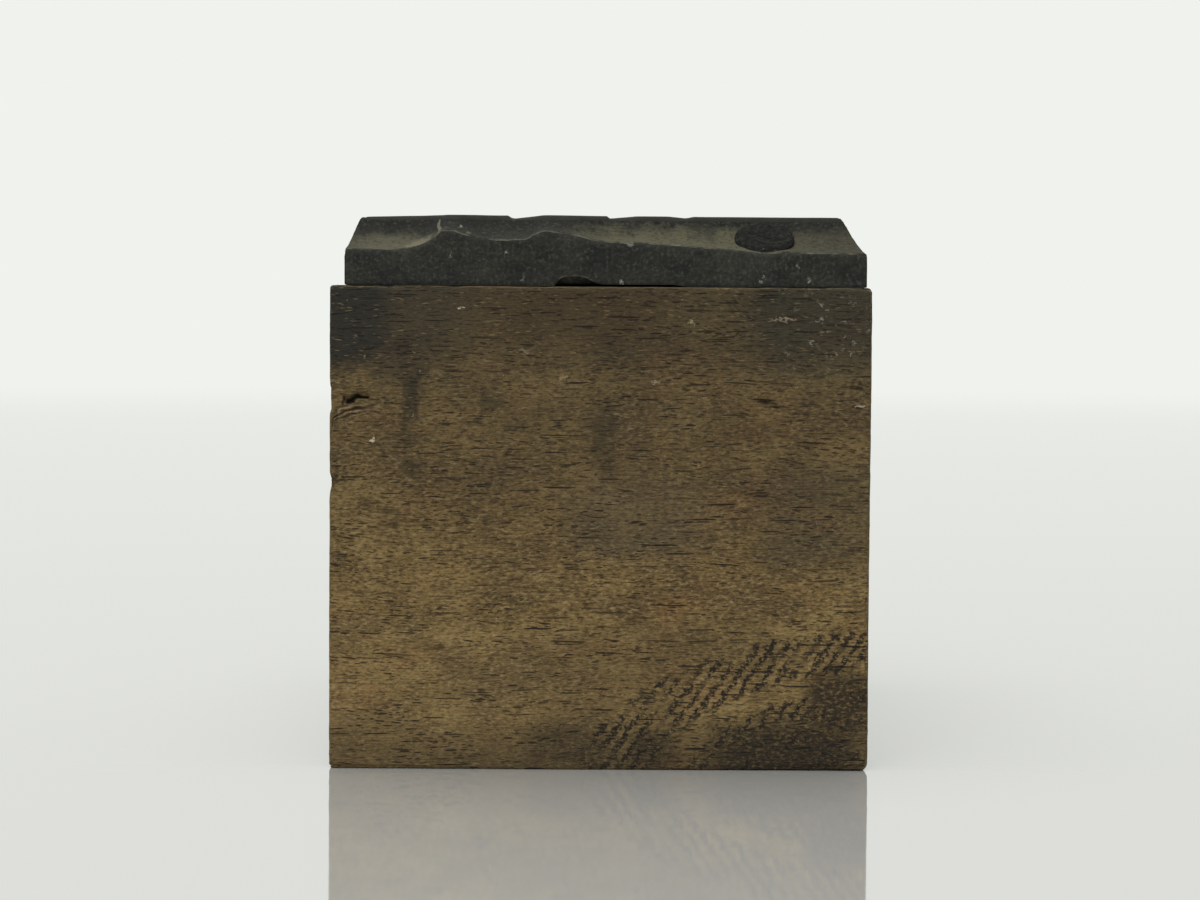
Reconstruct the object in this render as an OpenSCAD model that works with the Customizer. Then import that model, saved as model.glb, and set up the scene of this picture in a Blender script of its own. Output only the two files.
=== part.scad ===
// Letterpress printing block: an electrotype plate nailed on a wood block that brings it to type height.
// Origin at the middle of the block's underside, +Z towards the printing face, -Y the side with the first nail.

/* [Wood block] */
// Width of the block, left to right
block_w = 22.7; // [20:0.1:36]
// Depth of the block, front to back
block_d = 30; // [29:0.5:48]
// Height from the press bed to the printing face
type_height = 23.32; // [21:0.01:26]
// Radius worn along the block's edges
edge_round = 0.3; // [0.1:0.05:0.8]

/* [Edge chips in the wood] */
// Height of the larger chip's middle above the bed
big_chip_h = 15.45; // [6:0.05:17]
// Radius of the larger chip's hollow
big_chip_r = 0.9; // [0.6:0.05:1.3]
// How far the larger chip bites into the front left edge
big_chip_bite = 0.5; // [0.35:0.05:0.6]
// Height of the smaller chip's middle above the bed
small_chip_h = 12.1; // [3:0.05:15]
// Radius of the smaller chip's hollow
small_chip_r = 0.7; // [0.5:0.05:1]
// How far the smaller chip bites into the front left edge
small_chip_bite = 0.38; // [0.3:0.02:0.5]

/* [Plate] */
// Thickness of the plate, shell and backing together
plate_t = 3; // [2.7:0.05:4]
// Bare wood to the left of the plate
ledge_left = 0.62; // [0.2:0.02:1.2]
// Bare wood to the right of the plate
ledge_right = 0.24; // [0.1:0.02:1.2]
// Bare wood in front of the plate
ledge_front = 0.1; // [0.05:0.05:1]
// Bare wood behind the plate
ledge_back = 0.3; // [0.05:0.05:1]
// Thickness of the deposited metal shell
shell_t = 0.22; // [0.15:0.01:0.3]
// Depth of the blank parts below the printing face
counter_depth = 0.75; // [0.5:0.05:1]

/* [Hollow under the plate's front edge] */
// Distance of its middle from the plate's left corner
hollow_at = 10.1; // [4:0.1:14]
// Width of the hollow where it opens
hollow_w = 3; // [1:0.1:5]
// Height of the hollow where it opens
hollow_h = 0.42; // [0.2:0.02:0.6]

/* [Gouged shoulders, front and back] */
// How far the gouge's axis runs outside the plate's edge
cove_out = 0.63; // [0.4:0.01:0.9]
// How far the gouge's axis runs above the printing face
cove_up = 2.18; // [1.9:0.01:2.5]
// Height of the first cut's lip above the plate's underside
crest_h = 2.42; // [2.35:0.01:2.5]

/* [Gouged shoulder, right] */
// How far the cutter's axis runs outside the plate's edge
side_cove_out = 6.45; // [6:0.05:7]
// How far the cutter's axis runs above the printing face
side_cove_up = 2.66; // [2.4:0.02:2.9]
// Height of the first cut's lip, if it ran out to the plate's edge
side_crest_h = 0.93; // [0.8:0.01:1.1]
// Height of the ledge left at the foot of the right shoulder
side_ledge_h = 1.3; // [1:0.05:1.6]

/* [Filed edge, left] */
// Radius filed along the plate's left edge
file_r = 1.31; // [0.8:0.01:1.4]
// How far the filed round starts inside the plate's left edge
file_in = 0.08; // [0.02:0.01:0.15]

/* [Plate nails] */
// Diameter of the nail's head
head_d = 2.5; // [2:0.05:2.8]
// Thickness of the nail's head
head_t = 0.42; // [0.3:0.02:0.6]
// Bevel round the top of the nail's head
head_bevel = 0.1; // [0.05:0.01:0.15]
// Diameter of the nail's shank
shank_d = 1.1; // [0.8:0.05:1.4]
// Length of the nail below its head
nail_l = 9.5; // [7:0.5:12]
// Length of the nail's point
tip_l = 1.6; // [1:0.1:2.5]
// Distance of the nail's head from the plate's nearest long edge
nail_in = 1.22; // [1.15:0.01:1.3]
// Distance of the front nail from the plate's right corner
front_nail_at = 4.26; // [3.5:0.02:5]
// Distance of the back nail from the plate's left corner, seen from the front
back_nail_at = 4.6; // [4:0.02:5.2]
// How deep the head's seat is sunk below the gouged surface
seat_sink = 0.12; // [0.05:0.01:0.18]
// Room round the head in its seat
seat_gap = 0.04; // [0.02:0.01:0.08]

/* [Border of the printing design] */
// From the plate's long edges to the inside of the broad border
border_in_y = 3.1; // [2.9:0.05:3.6]
// From the plate's left and right edges to the inside of the broad border
border_in_x = 2; // [1.85:0.05:2.4]
// Gap between the broad border and the fine rule
rule_gap = 0.4; // [0.3:0.05:0.6]
// Width of the fine rule
rule_w = 0.3; // [0.2:0.02:0.4]
// Radius of the border's inner corners
border_r = 0.8; // [0.6:0.05:1]

/* [Rosette] */
// Radius of the middle boss
boss_r = 1.1; // [0.7:0.05:1.2]
// Number of petals in each of the two rings
petals = 8; // [6:1:10]
// Distance from the middle to the long petals
long_petal_from = 1.4; // [1.3:0.01:1.6]
// Length of the long petals
long_petal_l = 3.6; // [2.6:0.05:3.7]
// Width of the long petals
long_petal_w = 1.25; // [0.7:0.01:1.3]
// Distance from the middle to the short petals
short_petal_from = 3.3; // [3:0.05:3.4]
// Length of the short petals
short_petal_l = 1.8; // [1.2:0.05:1.9]
// Width of the short petals
short_petal_w = 0.95; // [0.6:0.01:1]
// Radius of the ring of beads
bead_ring_r = 5.75; // [5.6:0.05:5.9]
// Number of beads in the ring
beads = 36; // [16:2:40]
// Diameter of a bead
bead_d = 0.5; // [0.3:0.02:0.56]
// Inner radius of the ring round the rosette
ring_r = 6.3; // [6.2:0.05:6.4]
// Width of the ring round the rosette
ring_w = 0.46; // [0.3:0.02:0.5]

/* [Leaf sprays] */
// Length of a leaf
leaf_l = 2.3; // [1.6:0.05:2.5]
// Width of a leaf
leaf_w = 0.82; // [0.6:0.01:0.9]
// Distance from a spray's root to its leaves
leaf_from = 0.5; // [0.4:0.02:0.6]
// Radius of the bead at a spray's root
root_r = 0.34; // [0.2:0.02:0.36]
// Angle between the leaves of a middle spray
leaf_step = 38; // [34:1:42]
// Angle between the leaves of a corner spray
corner_step = 34; // [30:1:38]
// From the fine rule to a corner spray's root
corner_in = 2.9; // [2.8:0.05:3.2]
// From the ring to a middle spray's root
spray_gap = 0.65; // [0.5:0.05:0.8]

/* [Hidden] */

$fn = 72;

// Overshoot of a cutter past the surface that it cuts
over = 1;

block_h = type_height - plate_t;
plate_x0 = -block_w / 2 + ledge_left;
plate_x1 = block_w / 2 - ledge_right;
plate_y0 = -block_d / 2 + ledge_front;
plate_y1 = block_d / 2 - ledge_back;
plate_w = plate_x1 - plate_x0;
plate_d = plate_y1 - plate_y0;
plate_mid = [(plate_x0 + plate_x1) / 2, (plate_y0 + plate_y1) / 2, block_h];

// Each scoop of the gouge: [distance from the edge's left corner, seen from outside that edge,
// or from its right corner where negative; height of its lip above the plate's underside;
// radius of the scoop's sweep along the edge].
front_scoops = [[1.1, 1.5, 6], [7.3, 2, 9.3], [12.35, 1.82, 6.9], [-2.8, 1.33, 32]];
back_scoops = [[2.2, 1.55, 9], [8.6, 1.9, 8], [-8.2, 1.75, 7.5], [-3, 1.45, 14]];
right_scoops = [[4.5, 0.72, 22], [13, 0.82, 16], [-9.5, 0.75, 18], [-2.5, 0.7, 14]];

// Inside of the broad border and of the fine rule, as half sizes
border_half = [plate_w / 2 - border_in_x, plate_d / 2 - border_in_y];
rule_half = [for (h = border_half) h - rule_gap];
field_half = [for (h = rule_half) h - rule_w];

// Place of a scoop along an edge of the given length
function along(scoop, edge_l) = scoop[0] < 0 ? edge_l + scoop[0] : scoop[0];

// Radius of a cutter whose axis runs out and up from the edge, so that its lip is at the given height
function cutter_r(lip_h, out, up) = norm([out, plate_t + up - lip_h]);

// Radius that a scoop's cutter has left at a distance from its middle
function swept_r(scoop, off, out, up) =
    cutter_r(scoop[1], out, up) - scoop[2] + sqrt(max(0, pow(scoop[2], 2) - pow(off, 2)));

// Radius of the deepest cut at a place along a long edge
function deepest_r(scoops, at, edge_l) =
    max([for (s = scoops) swept_r(s, at - along(s, edge_l), cove_out, cove_up),
         cutter_r(crest_h, cove_out, cove_up)]);

// A long edge's shoulder under a nail: the tilt of its surface and its height above the plate's underside
function seat_tilt(r) = asin((nail_in + cove_out) / r);
function seat_h(r) = plate_t + cove_up - r * cos(seat_tilt(r));

front_r = deepest_r(front_scoops, plate_w - front_nail_at, plate_w);
back_r = deepest_r(back_scoops, plate_w - back_nail_at, plate_w);

// Rounded rectangle from its half sizes
module round_rect(half, r)
    for (turn = [0, 90]) {
        long = turn == 0 ? half : [half[1], half[0]];
        rotate(turn) square([2 * long[0], 2 * (long[1] - r)], center = true);
        for (sx = [-1, 1], sy = [-1, 1]) translate([sx * (half[0] - r), sy * (half[1] - r)]) circle(r);
    }

// Solid of revolution about X, widest at its middle, that a gouge sweeps in one scoop
module scoop_cutter(r, sweep_r)
    rotate([0, 90, 0]) rotate_extrude() intersection() {
        translate([r - sweep_r, 0]) circle(sweep_r);
        translate([0, -sweep_r]) square([r + over, 2 * sweep_r]);
    }

// All cuts along one edge, which starts at the origin and runs along +X with the plate towards +Y
module edge_cutters(scoops, edge_l, out, up, first_lip)
    translate([0, -out, plate_t + up]) {
        translate([-over, 0, 0]) rotate([0, 90, 0]) cylinder(r = cutter_r(first_lip, out, up), h = edge_l + 2 * over);
        for (s = scoops) translate([along(s, edge_l), 0, 0]) scoop_cutter(cutter_r(s[1], out, up), s[2]);
    }

// Puts its children on an edge of the plate: 0 front, 1 right, 2 back
module on_edge(side) {
    corner = [[plate_x0, plate_y0], [plate_x1, plate_y0], [plate_x1, plate_y1]][side];
    translate([corner[0], corner[1], block_h]) rotate(90 * side) children();
}

module left_file_cutter()
    translate([plate_x0 + file_in, plate_y1 + over, block_h + plate_t - file_r])
        rotate([90, 0, 0]) linear_extrude(plate_d + 2 * over) difference() {
            translate([-file_in - over, 0]) square([file_in + over + file_r, file_r + over]);
            translate([file_r, 0]) circle(file_r);
            translate([file_r, -over]) square([file_r, 2 * over + file_r]);
        }

module shoulder_cutters() {
    on_edge(0) edge_cutters(front_scoops, plate_w, cove_out, cove_up, crest_h);
    on_edge(2) edge_cutters(back_scoops, plate_w, cove_out, cove_up, crest_h);
    on_edge(1) intersection() {
        edge_cutters(right_scoops, plate_d, side_cove_out, side_cove_up, side_crest_h);
        translate([-over, -over, side_ledge_h]) cube([plate_d + 2 * over, plate_w / 2, plate_t]);
    }
    left_file_cutter();
}

// Nail standing on its head's underside, point down
module nail() {
    r = shank_d / 2;
    hr = head_d / 2;
    rotate_extrude() polygon([
        [0, -nail_l], [r, -nail_l + tip_l], [r, 0], [hr, 0],
        [hr, head_t - head_bevel], [hr - head_bevel, head_t], [0, head_t]]);
}

// Puts its children at a nail's seat on a long edge of the plate, tilted with the shoulder there
module at_nail(side, at, r)
    on_edge(side) translate([plate_w - at, nail_in, seat_h(r)]) rotate([seat_tilt(r), 0, 0])
        translate([0, 0, -seat_sink]) children();

module at_front_nail() at_nail(0, front_nail_at, front_r) children();
module at_back_nail() at_nail(2, back_nail_at, back_r) children();

// Seat for a nail's head, open upwards, with the shank's hole
module nail_pocket() {
    cylinder(d = head_d + 2 * seat_gap, h = plate_t);
    nail();
}

// Pointed leaf or petal along +X, drawn in all round by inset
module petal(from, l, w, inset = 0) {
    arc_r = (pow(l, 2) + pow(w, 2)) / (4 * w);
    translate([from + l / 2, 0]) intersection_for(side = [-1, 1])
        translate([0, side * (arc_r - w / 2)]) circle(arc_r - inset);
}

module petal_ring(count, start, from, l, w, inset)
    for (i = [0 : count - 1]) rotate(start + i * 360 / count) petal(from, l, w, inset);

module spray(steps, step, inset)
    for (i = [-steps : steps]) rotate(i * step) petal(leaf_from, leaf_l, leaf_w, inset);

module at_middle_sprays()
    for (end = [-90, 90]) rotate(end) translate([ring_r + ring_w + spray_gap, 0]) children();

module at_corner_sprays()
    for (sx = [-1, 1], sy = [-1, 1])
        translate([sx * (field_half[0] - corner_in), sy * (field_half[1] - corner_in)])
            rotate(sy * (90 - sx * 45)) children();

// Broad forms of the printing design, drawn in all round by inset where the backing fills them
module broad_forms(inset) {
    difference() {
        square([plate_w, plate_d], center = true);
        round_rect([for (h = border_half) h + inset], border_r + inset);
    }
    circle(boss_r - inset);
    petal_ring(petals, 0, long_petal_from, long_petal_l, long_petal_w, inset);
    petal_ring(petals, 180 / petals, short_petal_from, short_petal_l, short_petal_w, inset);
    at_middle_sprays() spray(1, leaf_step, inset);
    at_corner_sprays() spray(1, corner_step, inset);
}

// Fine forms of the printing design, too narrow for the backing to fill
module fine_forms() {
    difference() {
        round_rect(rule_half, border_r - rule_gap);
        round_rect(field_half, (border_r - rule_gap) / 2);
    }
    difference() {
        circle(ring_r + ring_w);
        circle(ring_r);
    }
    for (i = [0 : beads - 1]) rotate(i * 360 / beads) translate([bead_ring_r, 0]) circle(d = bead_d);
    at_middle_sprays() circle(root_r);
    at_corner_sprays() circle(root_r);
}

// The backing up to the shell's underside, with a core in each broad form
module backing_mass() translate(plate_mid) {
    floor_h = plate_t - counter_depth - shell_t;
    translate([-plate_w / 2, -plate_d / 2, 0]) cube([plate_w, plate_d, floor_h]);
    linear_extrude(plate_t - shell_t) broad_forms(shell_t);
}

// The shell before its edges are cut: a skin over the blank parts, and the raised forms with their cores empty
module shell_mass() translate(plate_mid) {
    floor_h = plate_t - counter_depth - shell_t;
    difference() {
        union() {
            translate([0, 0, floor_h]) linear_extrude(shell_t) round_rect(border_half, border_r);
            translate([0, 0, floor_h]) linear_extrude(counter_depth + shell_t) {
                broad_forms(0);
                fine_forms();
            }
        }
        translate([0, 0, floor_h - over]) linear_extrude(counter_depth + over) broad_forms(shell_t);
    }
}

// Slightly worn block, round along all its edges
module worn_block() {
    half = [block_w / 2, block_d / 2, block_h / 2];
    translate([0, 0, half[2]]) intersection() {
        linear_extrude(block_h, center = true) round_rect([half[0], half[1]], edge_round);
        rotate([90, 0, 0]) linear_extrude(block_d, center = true) round_rect([half[0], half[2]], edge_round);
        rotate([90, 0, 90]) linear_extrude(block_w, center = true) round_rect([half[1], half[2]], edge_round);
    }
}

module edge_chip(h, r, bite) {
    out = r - bite;
    translate([-block_w / 2 - out * cos(45), -block_d / 2 - out * sin(45), h]) sphere(r);
}

module front_hollow() {
    r = (pow(hollow_w, 2) / 4 + pow(hollow_h, 2)) / (2 * hollow_h);
    translate([plate_x0 + hollow_at, plate_y0, block_h + hollow_h - r]) sphere(r);
}

module wood_block() {
    color("#6b5a3e") difference() {
        worn_block();
        edge_chip(big_chip_h, big_chip_r, big_chip_bite);
        edge_chip(small_chip_h, small_chip_r, small_chip_bite);
        at_front_nail() nail();
        at_back_nail() nail();
    }
}

module backing_metal() {
    color("#3c3c37") difference() {
        backing_mass();
        shoulder_cutters();
        front_hollow();
        at_front_nail() nail_pocket();
        at_back_nail() nail_pocket();
    }
}

module printing_shell() {
    color("#4a3b31") difference() {
        shell_mass();
        shoulder_cutters();
        at_front_nail() nail_pocket();
        at_back_nail() nail_pocket();
    }
}

module nail_front() {
    color("#2b2b27") at_front_nail() nail();
}

module nail_back() {
    color("#2b2b27") at_back_nail() nail();
}

wood_block();
backing_metal();
printing_shell();
nail_front();
nail_back();
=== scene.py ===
# %% [markdown]
# # A letterpress printing block
#
# The object is a small relief plate for a printing press: a soft cast metal body with a thin
# copper skin on its face, nailed on a block of hardwood that lifts it to the height of type.
# The solids come from the frame at their real size. This lesson gives them the surfaces that
# a hundred years of ink, knocks and handling leave. All sizes below are in millimetres, and
# `MM` turns them to Blender's metres.

# %% Load the frame
import itertools
import math

import bpy
import numpy as np
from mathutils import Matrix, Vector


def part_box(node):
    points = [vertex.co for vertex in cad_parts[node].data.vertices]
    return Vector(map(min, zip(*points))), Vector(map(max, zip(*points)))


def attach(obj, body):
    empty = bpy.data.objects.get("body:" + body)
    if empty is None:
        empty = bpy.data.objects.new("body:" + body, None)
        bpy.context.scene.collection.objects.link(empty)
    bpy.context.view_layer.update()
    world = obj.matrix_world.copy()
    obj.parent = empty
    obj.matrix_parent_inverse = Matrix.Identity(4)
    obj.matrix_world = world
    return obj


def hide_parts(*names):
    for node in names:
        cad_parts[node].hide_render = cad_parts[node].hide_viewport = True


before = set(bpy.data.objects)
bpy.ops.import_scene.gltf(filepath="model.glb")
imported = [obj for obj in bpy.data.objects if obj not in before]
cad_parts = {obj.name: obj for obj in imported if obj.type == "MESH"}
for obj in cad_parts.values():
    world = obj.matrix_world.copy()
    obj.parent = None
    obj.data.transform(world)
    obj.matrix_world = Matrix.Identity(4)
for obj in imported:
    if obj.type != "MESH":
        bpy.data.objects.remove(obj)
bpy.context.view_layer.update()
MM = 0.001


def box_mm(node):
    """Lowest and highest corner of a solid, in millimetres."""
    return [np.array(corner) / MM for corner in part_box(node)]


wood_lo, wood_hi = box_mm("wood_block")
plate_lo, plate_hi = box_mm("backing_metal")
BLOCK_H = wood_hi[2]
TYPE_H = box_mm("printing_shell")[1][2]
PLATE_T = TYPE_H - BLOCK_H
print("block", wood_hi - wood_lo, "plate", plate_hi - plate_lo, "type height", TYPE_H)

# %% [markdown]
# ## Small helpers
#
# `hex_colour` turns the sRGB colours that a picture editor shows into the linear values that
# a shader needs. `add` puts a node in a tree, sets its properties and fills or links its
# inputs, so that a material reads like a list of steps.


# %% Colour and node helpers
def hex_colour(text):
    """sRGB hex to a linear RGBA colour."""
    parts = [int(text[i:i + 2], 16) / 255 for i in (1, 3, 5)]
    return [c / 12.92 if c <= 0.04045 else ((c + 0.055) / 1.055) ** 2.4 for c in parts] + [1.0]


def fill(tree, node, inputs):
    """Fills a node's inputs with numbers or hex colours, or links them to other nodes' outputs."""
    for name, value in inputs.items():
        if isinstance(value, bpy.types.NodeSocket):
            tree.links.new(value, node.inputs[name])
        else:
            node.inputs[name].default_value = hex_colour(value) if isinstance(value, str) else value


def add(tree, kind, inputs=None, out=0, **settings):
    """Adds a node with its settings and inputs, and returns one of its outputs."""
    node = tree.nodes.new(kind)
    for name, value in settings.items():
        setattr(node, name, value)
    fill(tree, node, inputs or {})
    return node.outputs[out]


# %% [markdown]
# `bumps` is a smooth random height for any point. It is made from whole numbers alone, so it
# is the same on every run, and it can move a hundred thousand vertices at once. `bell` and
# `step_up` are the two curves that place a dent or end a scoop.


# %% Noise, curves and meshes
def bumps(points, size, seed=0):
    """Smooth noise from -1 to 1 at each point. Size is the width of a bump, also one per axis."""
    place = points / size + seed * 7.31
    cell = np.floor(place).astype(np.int64)
    part = place - cell
    part = part * part * (3 - 2 * part)
    total = np.zeros(len(points))
    for corner in itertools.product((0, 1), repeat=3):
        at = cell + corner
        mixed = (at[:, 0] * 73856093) ^ (at[:, 1] * 19349663) ^ (at[:, 2] * 83492791) ^ (seed * 9781)
        mixed = ((mixed & 0xFFFFFFFF) * 2654435761) & 0xFFFFFFFF
        mixed = ((mixed ^ (mixed >> 15)) * 2246822519) & 0xFFFFFFFF
        share = np.prod(np.where(corner, part, 1 - part), axis=1)
        total += share * (((mixed ^ (mixed >> 13)) & 0xFFFFFF) / 0x7FFFFF - 1)
    return total


def bell(value, middle, width):
    """A smooth hump, 1 in the middle."""
    return np.exp(-(((value - middle) / width) ** 2))


def step_up(value, low, high):
    """0 at low, 1 at high, and a smooth rise between them."""
    part = np.clip((value - low) / (high - low), 0, 1)
    return part * part * (3 - 2 * part)


def make_piece(name, points, faces, material, **marks):
    """A mesh object at the origin from points in millimetres, with a number at each for each mark."""
    mesh = bpy.data.meshes.new(name)
    mesh.from_pydata((np.asarray(points) * MM).tolist(), [], faces)
    mesh.materials.append(material)
    mesh.polygons.foreach_set("use_smooth", [True] * len(mesh.polygons))
    for mark, values in marks.items():
        attribute = mesh.attributes.new(mark, "FLOAT", "POINT")
        attribute.data.foreach_set("value", np.asarray(values, dtype=np.float32))
    piece = bpy.data.objects.new(name, mesh)
    bpy.context.scene.collection.objects.link(piece)
    print(name, len(mesh.vertices), "points", sum(len(f) - 2 for f in faces), "triangles")
    return piece


# %% [markdown]
# Every material starts from the place of a point in millimetres, so that each pattern has a
# real size. A noise is read at the place divided by the size of its bumps. A tint lies where
# a noise goes from one number to another. Grains, blots and frayed places make the rest.


# %% Material helpers
def start_material(name):
    """A new material, its tree and shader, and the place of each point in millimetres."""
    material = bpy.data.materials.new(name)
    material.use_nodes = True
    tree = material.node_tree
    coords = add(tree, "ShaderNodeTexCoord", out="Object")
    place = add(tree, "ShaderNodeVectorMath", {0: coords, "Scale": 1 / MM}, operation="SCALE")
    return material, tree, tree.nodes["Principled BSDF"], place


def ripples(tree, place, size, detail=2.0, rough=0.5, out=0):
    """Noise whose bumps have that size along X, Y and Z."""
    scaled = add(tree, "ShaderNodeVectorMath", {0: place, 1: size}, operation="DIVIDE")
    return add(tree, "ShaderNodeTexNoise", {"Vector": scaled, "Scale": 1.0, "Detail": detail,
                                            "Roughness": rough}, out=out)


def tint(tree, under, noise, start, full, strength, colour):
    """Lays a colour over another: none where the noise is at start, and up to strength at full."""
    share = add(tree, "ShaderNodeMapRange", {"Value": noise, "From Min": start, "From Max": full,
                                             "To Max": strength})
    return add(tree, "ShaderNodeMix", {0: share, 6: under, 7: colour}, out=2, data_type="RGBA")


def weigh(tree, *parts):
    """The sum of outputs, each times its own number."""
    total = 0.0
    for output, weight in parts:
        total = add(tree, "ShaderNodeMath", {0: output, 1: weight, 2: total}, operation="MULTIPLY_ADD")
    return total


GRAIN_EDGE = 0.09  # width of a grain's soft edge, in cells


def grains(tree, place, size, least, most):
    """Separate grains, 1 inside: one to a cell of that size, with a radius of least..most cells."""
    scaled = add(tree, "ShaderNodeVectorMath", {0: place, 1: size}, operation="DIVIDE")
    distance = add(tree, "ShaderNodeTexVoronoi", {"Vector": scaled, "Scale": 1.0}, out="Distance")
    luck = add(tree, "ShaderNodeSeparateColor", {0: distance.node.outputs["Color"]})
    radius = add(tree, "ShaderNodeMapRange", {"Value": luck, "To Min": least, "To Max": most})
    depth = add(tree, "ShaderNodeMath", {0: radius, 1: distance}, operation="SUBTRACT")
    return add(tree, "ShaderNodeMapRange", {"Value": depth, "From Max": GRAIN_EDGE},
               interpolation_type="SMOOTHSTEP")


def blot(tree, place, middle, half, soft, strength):
    """How much of a stain there is: nearly a box with that middle, half sizes and soft sides."""
    off = add(tree, "ShaderNodeVectorMath", {0: place, 1: middle}, operation="SUBTRACT")
    off = add(tree, "ShaderNodeVectorMath", {0: off, 1: half}, operation="DIVIDE")
    squared = add(tree, "ShaderNodeVectorMath", {0: off, 1: off}, operation="MULTIPLY")
    away = add(tree, "ShaderNodeVectorMath", {0: squared}, out="Value", operation="LENGTH")
    outside, inside = (1 + soft) ** 2, (1 - soft) ** 2
    return add(tree, "ShaderNodeMapRange", {"Value": away, "From Min": outside, "From Max": inside,
                                            "To Max": strength}, interpolation_type="SMOOTHSTEP")


def stain(tree, place, under, blots):
    """Lays blots over a colour. Each has a middle, half sizes, softness, strength and colour."""
    for *where, colour in blots:
        share = blot(tree, place, *where)
        under = add(tree, "ShaderNodeMix", {0: share, 6: under, 7: colour}, out=2, data_type="RGBA")
    return under


def fray(tree, place, size, amount, detail=6.0, rough=0.68):
    """The place, moved by noise of that size, by up to half that amount: what reads it is torn."""
    noise = ripples(tree, place, (size,) * 3, detail, rough, "Color")
    noise = add(tree, "ShaderNodeVectorMath", {0: noise, 1: (0.5, 0.5, 0.5)}, operation="SUBTRACT")
    noise = add(tree, "ShaderNodeVectorMath", {0: noise, "Scale": amount}, operation="SCALE")
    return add(tree, "ShaderNodeVectorMath", {0: noise, 1: place}, operation="ADD")


# %% [markdown]
# ## Old hardwood
#
# The block is a close-grained hardwood, cut with its grain from left to right. What the eye
# sees is thousands of short dark pores, drawn out along the grain, over soft clouds of brown.
# A solid texture suits it, because wood is the same stuff all through: a pore is a long tube,
# so one stretched noise gives dashes on the sides and dots on the end grain, without any
# seams. Real pores are 0.05 mm across. They are drawn a little wider, because they would
# otherwise be finer than a pixel.

# %% Wood: the run of the grain
wood, tree, wood_shader, place = start_material("aged_hardwood_side_grain")
WANDER_SIZE, WANDER = (6.0, 2.5, 2.5), 0.45
wander = ripples(tree, place, WANDER_SIZE, 1.5, out="Color")
wander = add(tree, "ShaderNodeVectorMath", {0: wander, 1: (0.5, 0.5, 0.5)}, operation="SUBTRACT")
wander = add(tree, "ShaderNodeVectorMath", {0: wander, 1: (0.0, WANDER, WANDER)}, operation="MULTIPLY")
grain = add(tree, "ShaderNodeVectorMath", {0: place, 1: wander}, operation="ADD")

# %% [markdown]
# Five noises of different sizes are drawn out along the grain: soft clouds, a reddish tinge,
# fibres, mottling, and rows, which the pores use later. Each tint below takes one of the other
# four, and lies where that noise goes from one number to another.

# %% Wood: clouds, fibres and mottling
WOOD_LAYERS = {
    # size of a bump along X, Y and Z, and detail
    "clouds": ((3.0, 2.6, 1.7), 6.0),
    "reddish": ((3.5, 2.0, 1.6), 2.0),
    "fibres": ((1.2, 0.06, 0.06), 2.0),
    "mottle": ((0.22, 0.11, 0.11), 3.0),
    "rows": ((2.6, 0.9, 0.7), 2.0),
}
wood_noise = {layer: ripples(tree, grain, size, detail, 0.6)
              for layer, (size, detail) in WOOD_LAYERS.items()}
WOOD_DARK, WOOD_MID, WOOD_LIGHT = "#5b4a2c", "#6a5631", "#7b663d"
WOOD_TINTS = [
    # noise, where the tint starts, where it is full, how strong, colour
    ("clouds", 0.38, 0.5, 1.0, WOOD_MID),
    ("clouds", 0.5, 0.64, 1.0, WOOD_LIGHT),
    ("reddish", 0.52, 0.7, 0.3, "#79532f"),
    ("fibres", 0.5, 0.68, 0.4, "#3b2f20"),
    ("fibres", 0.48, 0.32, 0.25, "#8f774f"),
    ("mottle", 0.51, 0.64, 0.68, "#362a1b"),
    ("mottle", 0.46, 0.31, 0.58, "#96835c"),
]
brown = WOOD_DARK
for layer, *where in WOOD_TINTS:
    brown = tint(tree, brown, wood_noise[layer], *where)
print("wood tints:", len(WOOD_TINTS))

# %% [markdown]
# Year rings are shells round the tree's pith, which lay far behind the block. The ends cut
# across them and show arcs. The front runs along them, so it shows hardly any. One noise of the
# distance from the pith gives rings of uneven width, and the noise has one dimension, so a ring
# stays the same all round.

# %% Wood: year rings
PITH, RING_PITCH, RING_STRENGTH = (0.0, 52.5, 12.0), 1.3, 0.36
from_pith = add(tree, "ShaderNodeVectorMath", {0: grain, 1: PITH}, operation="SUBTRACT")
from_pith = add(tree, "ShaderNodeVectorMath", {0: from_pith, 1: (0.0, 1.0, 1.0)}, operation="MULTIPLY")
from_pith = add(tree, "ShaderNodeVectorMath", {0: from_pith}, out="Value", operation="LENGTH")
from_pith = add(tree, "ShaderNodeMath", {0: from_pith, 1: 1 / RING_PITCH}, operation="MULTIPLY")
year_rings = add(tree, "ShaderNodeTexNoise", {"W": from_pith, "Scale": 1.0, "Detail": 2.0},
                 noise_dimensions="1D")
brown = tint(tree, brown, year_rings, 0.5, 0.64, RING_STRENGTH, "#3f3120")
brown = tint(tree, brown, year_rings, 0.48, 0.34, RING_STRENGTH / 2, "#8f7a50")
print("year rings about", RING_PITCH, "mm wide")

# %% [markdown]
# A pore is a grain of a cell pattern that is stretched along the wood, so each one is a
# separate dash with its own length. Its rows are shifted along the grain by a noise, because
# the cells would otherwise stand in columns. Three sizes lie over each other, and a slow noise
# makes them fainter in some rows than in others. A few light flecks lie between them, where
# the light catches a raised fibre.

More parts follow.
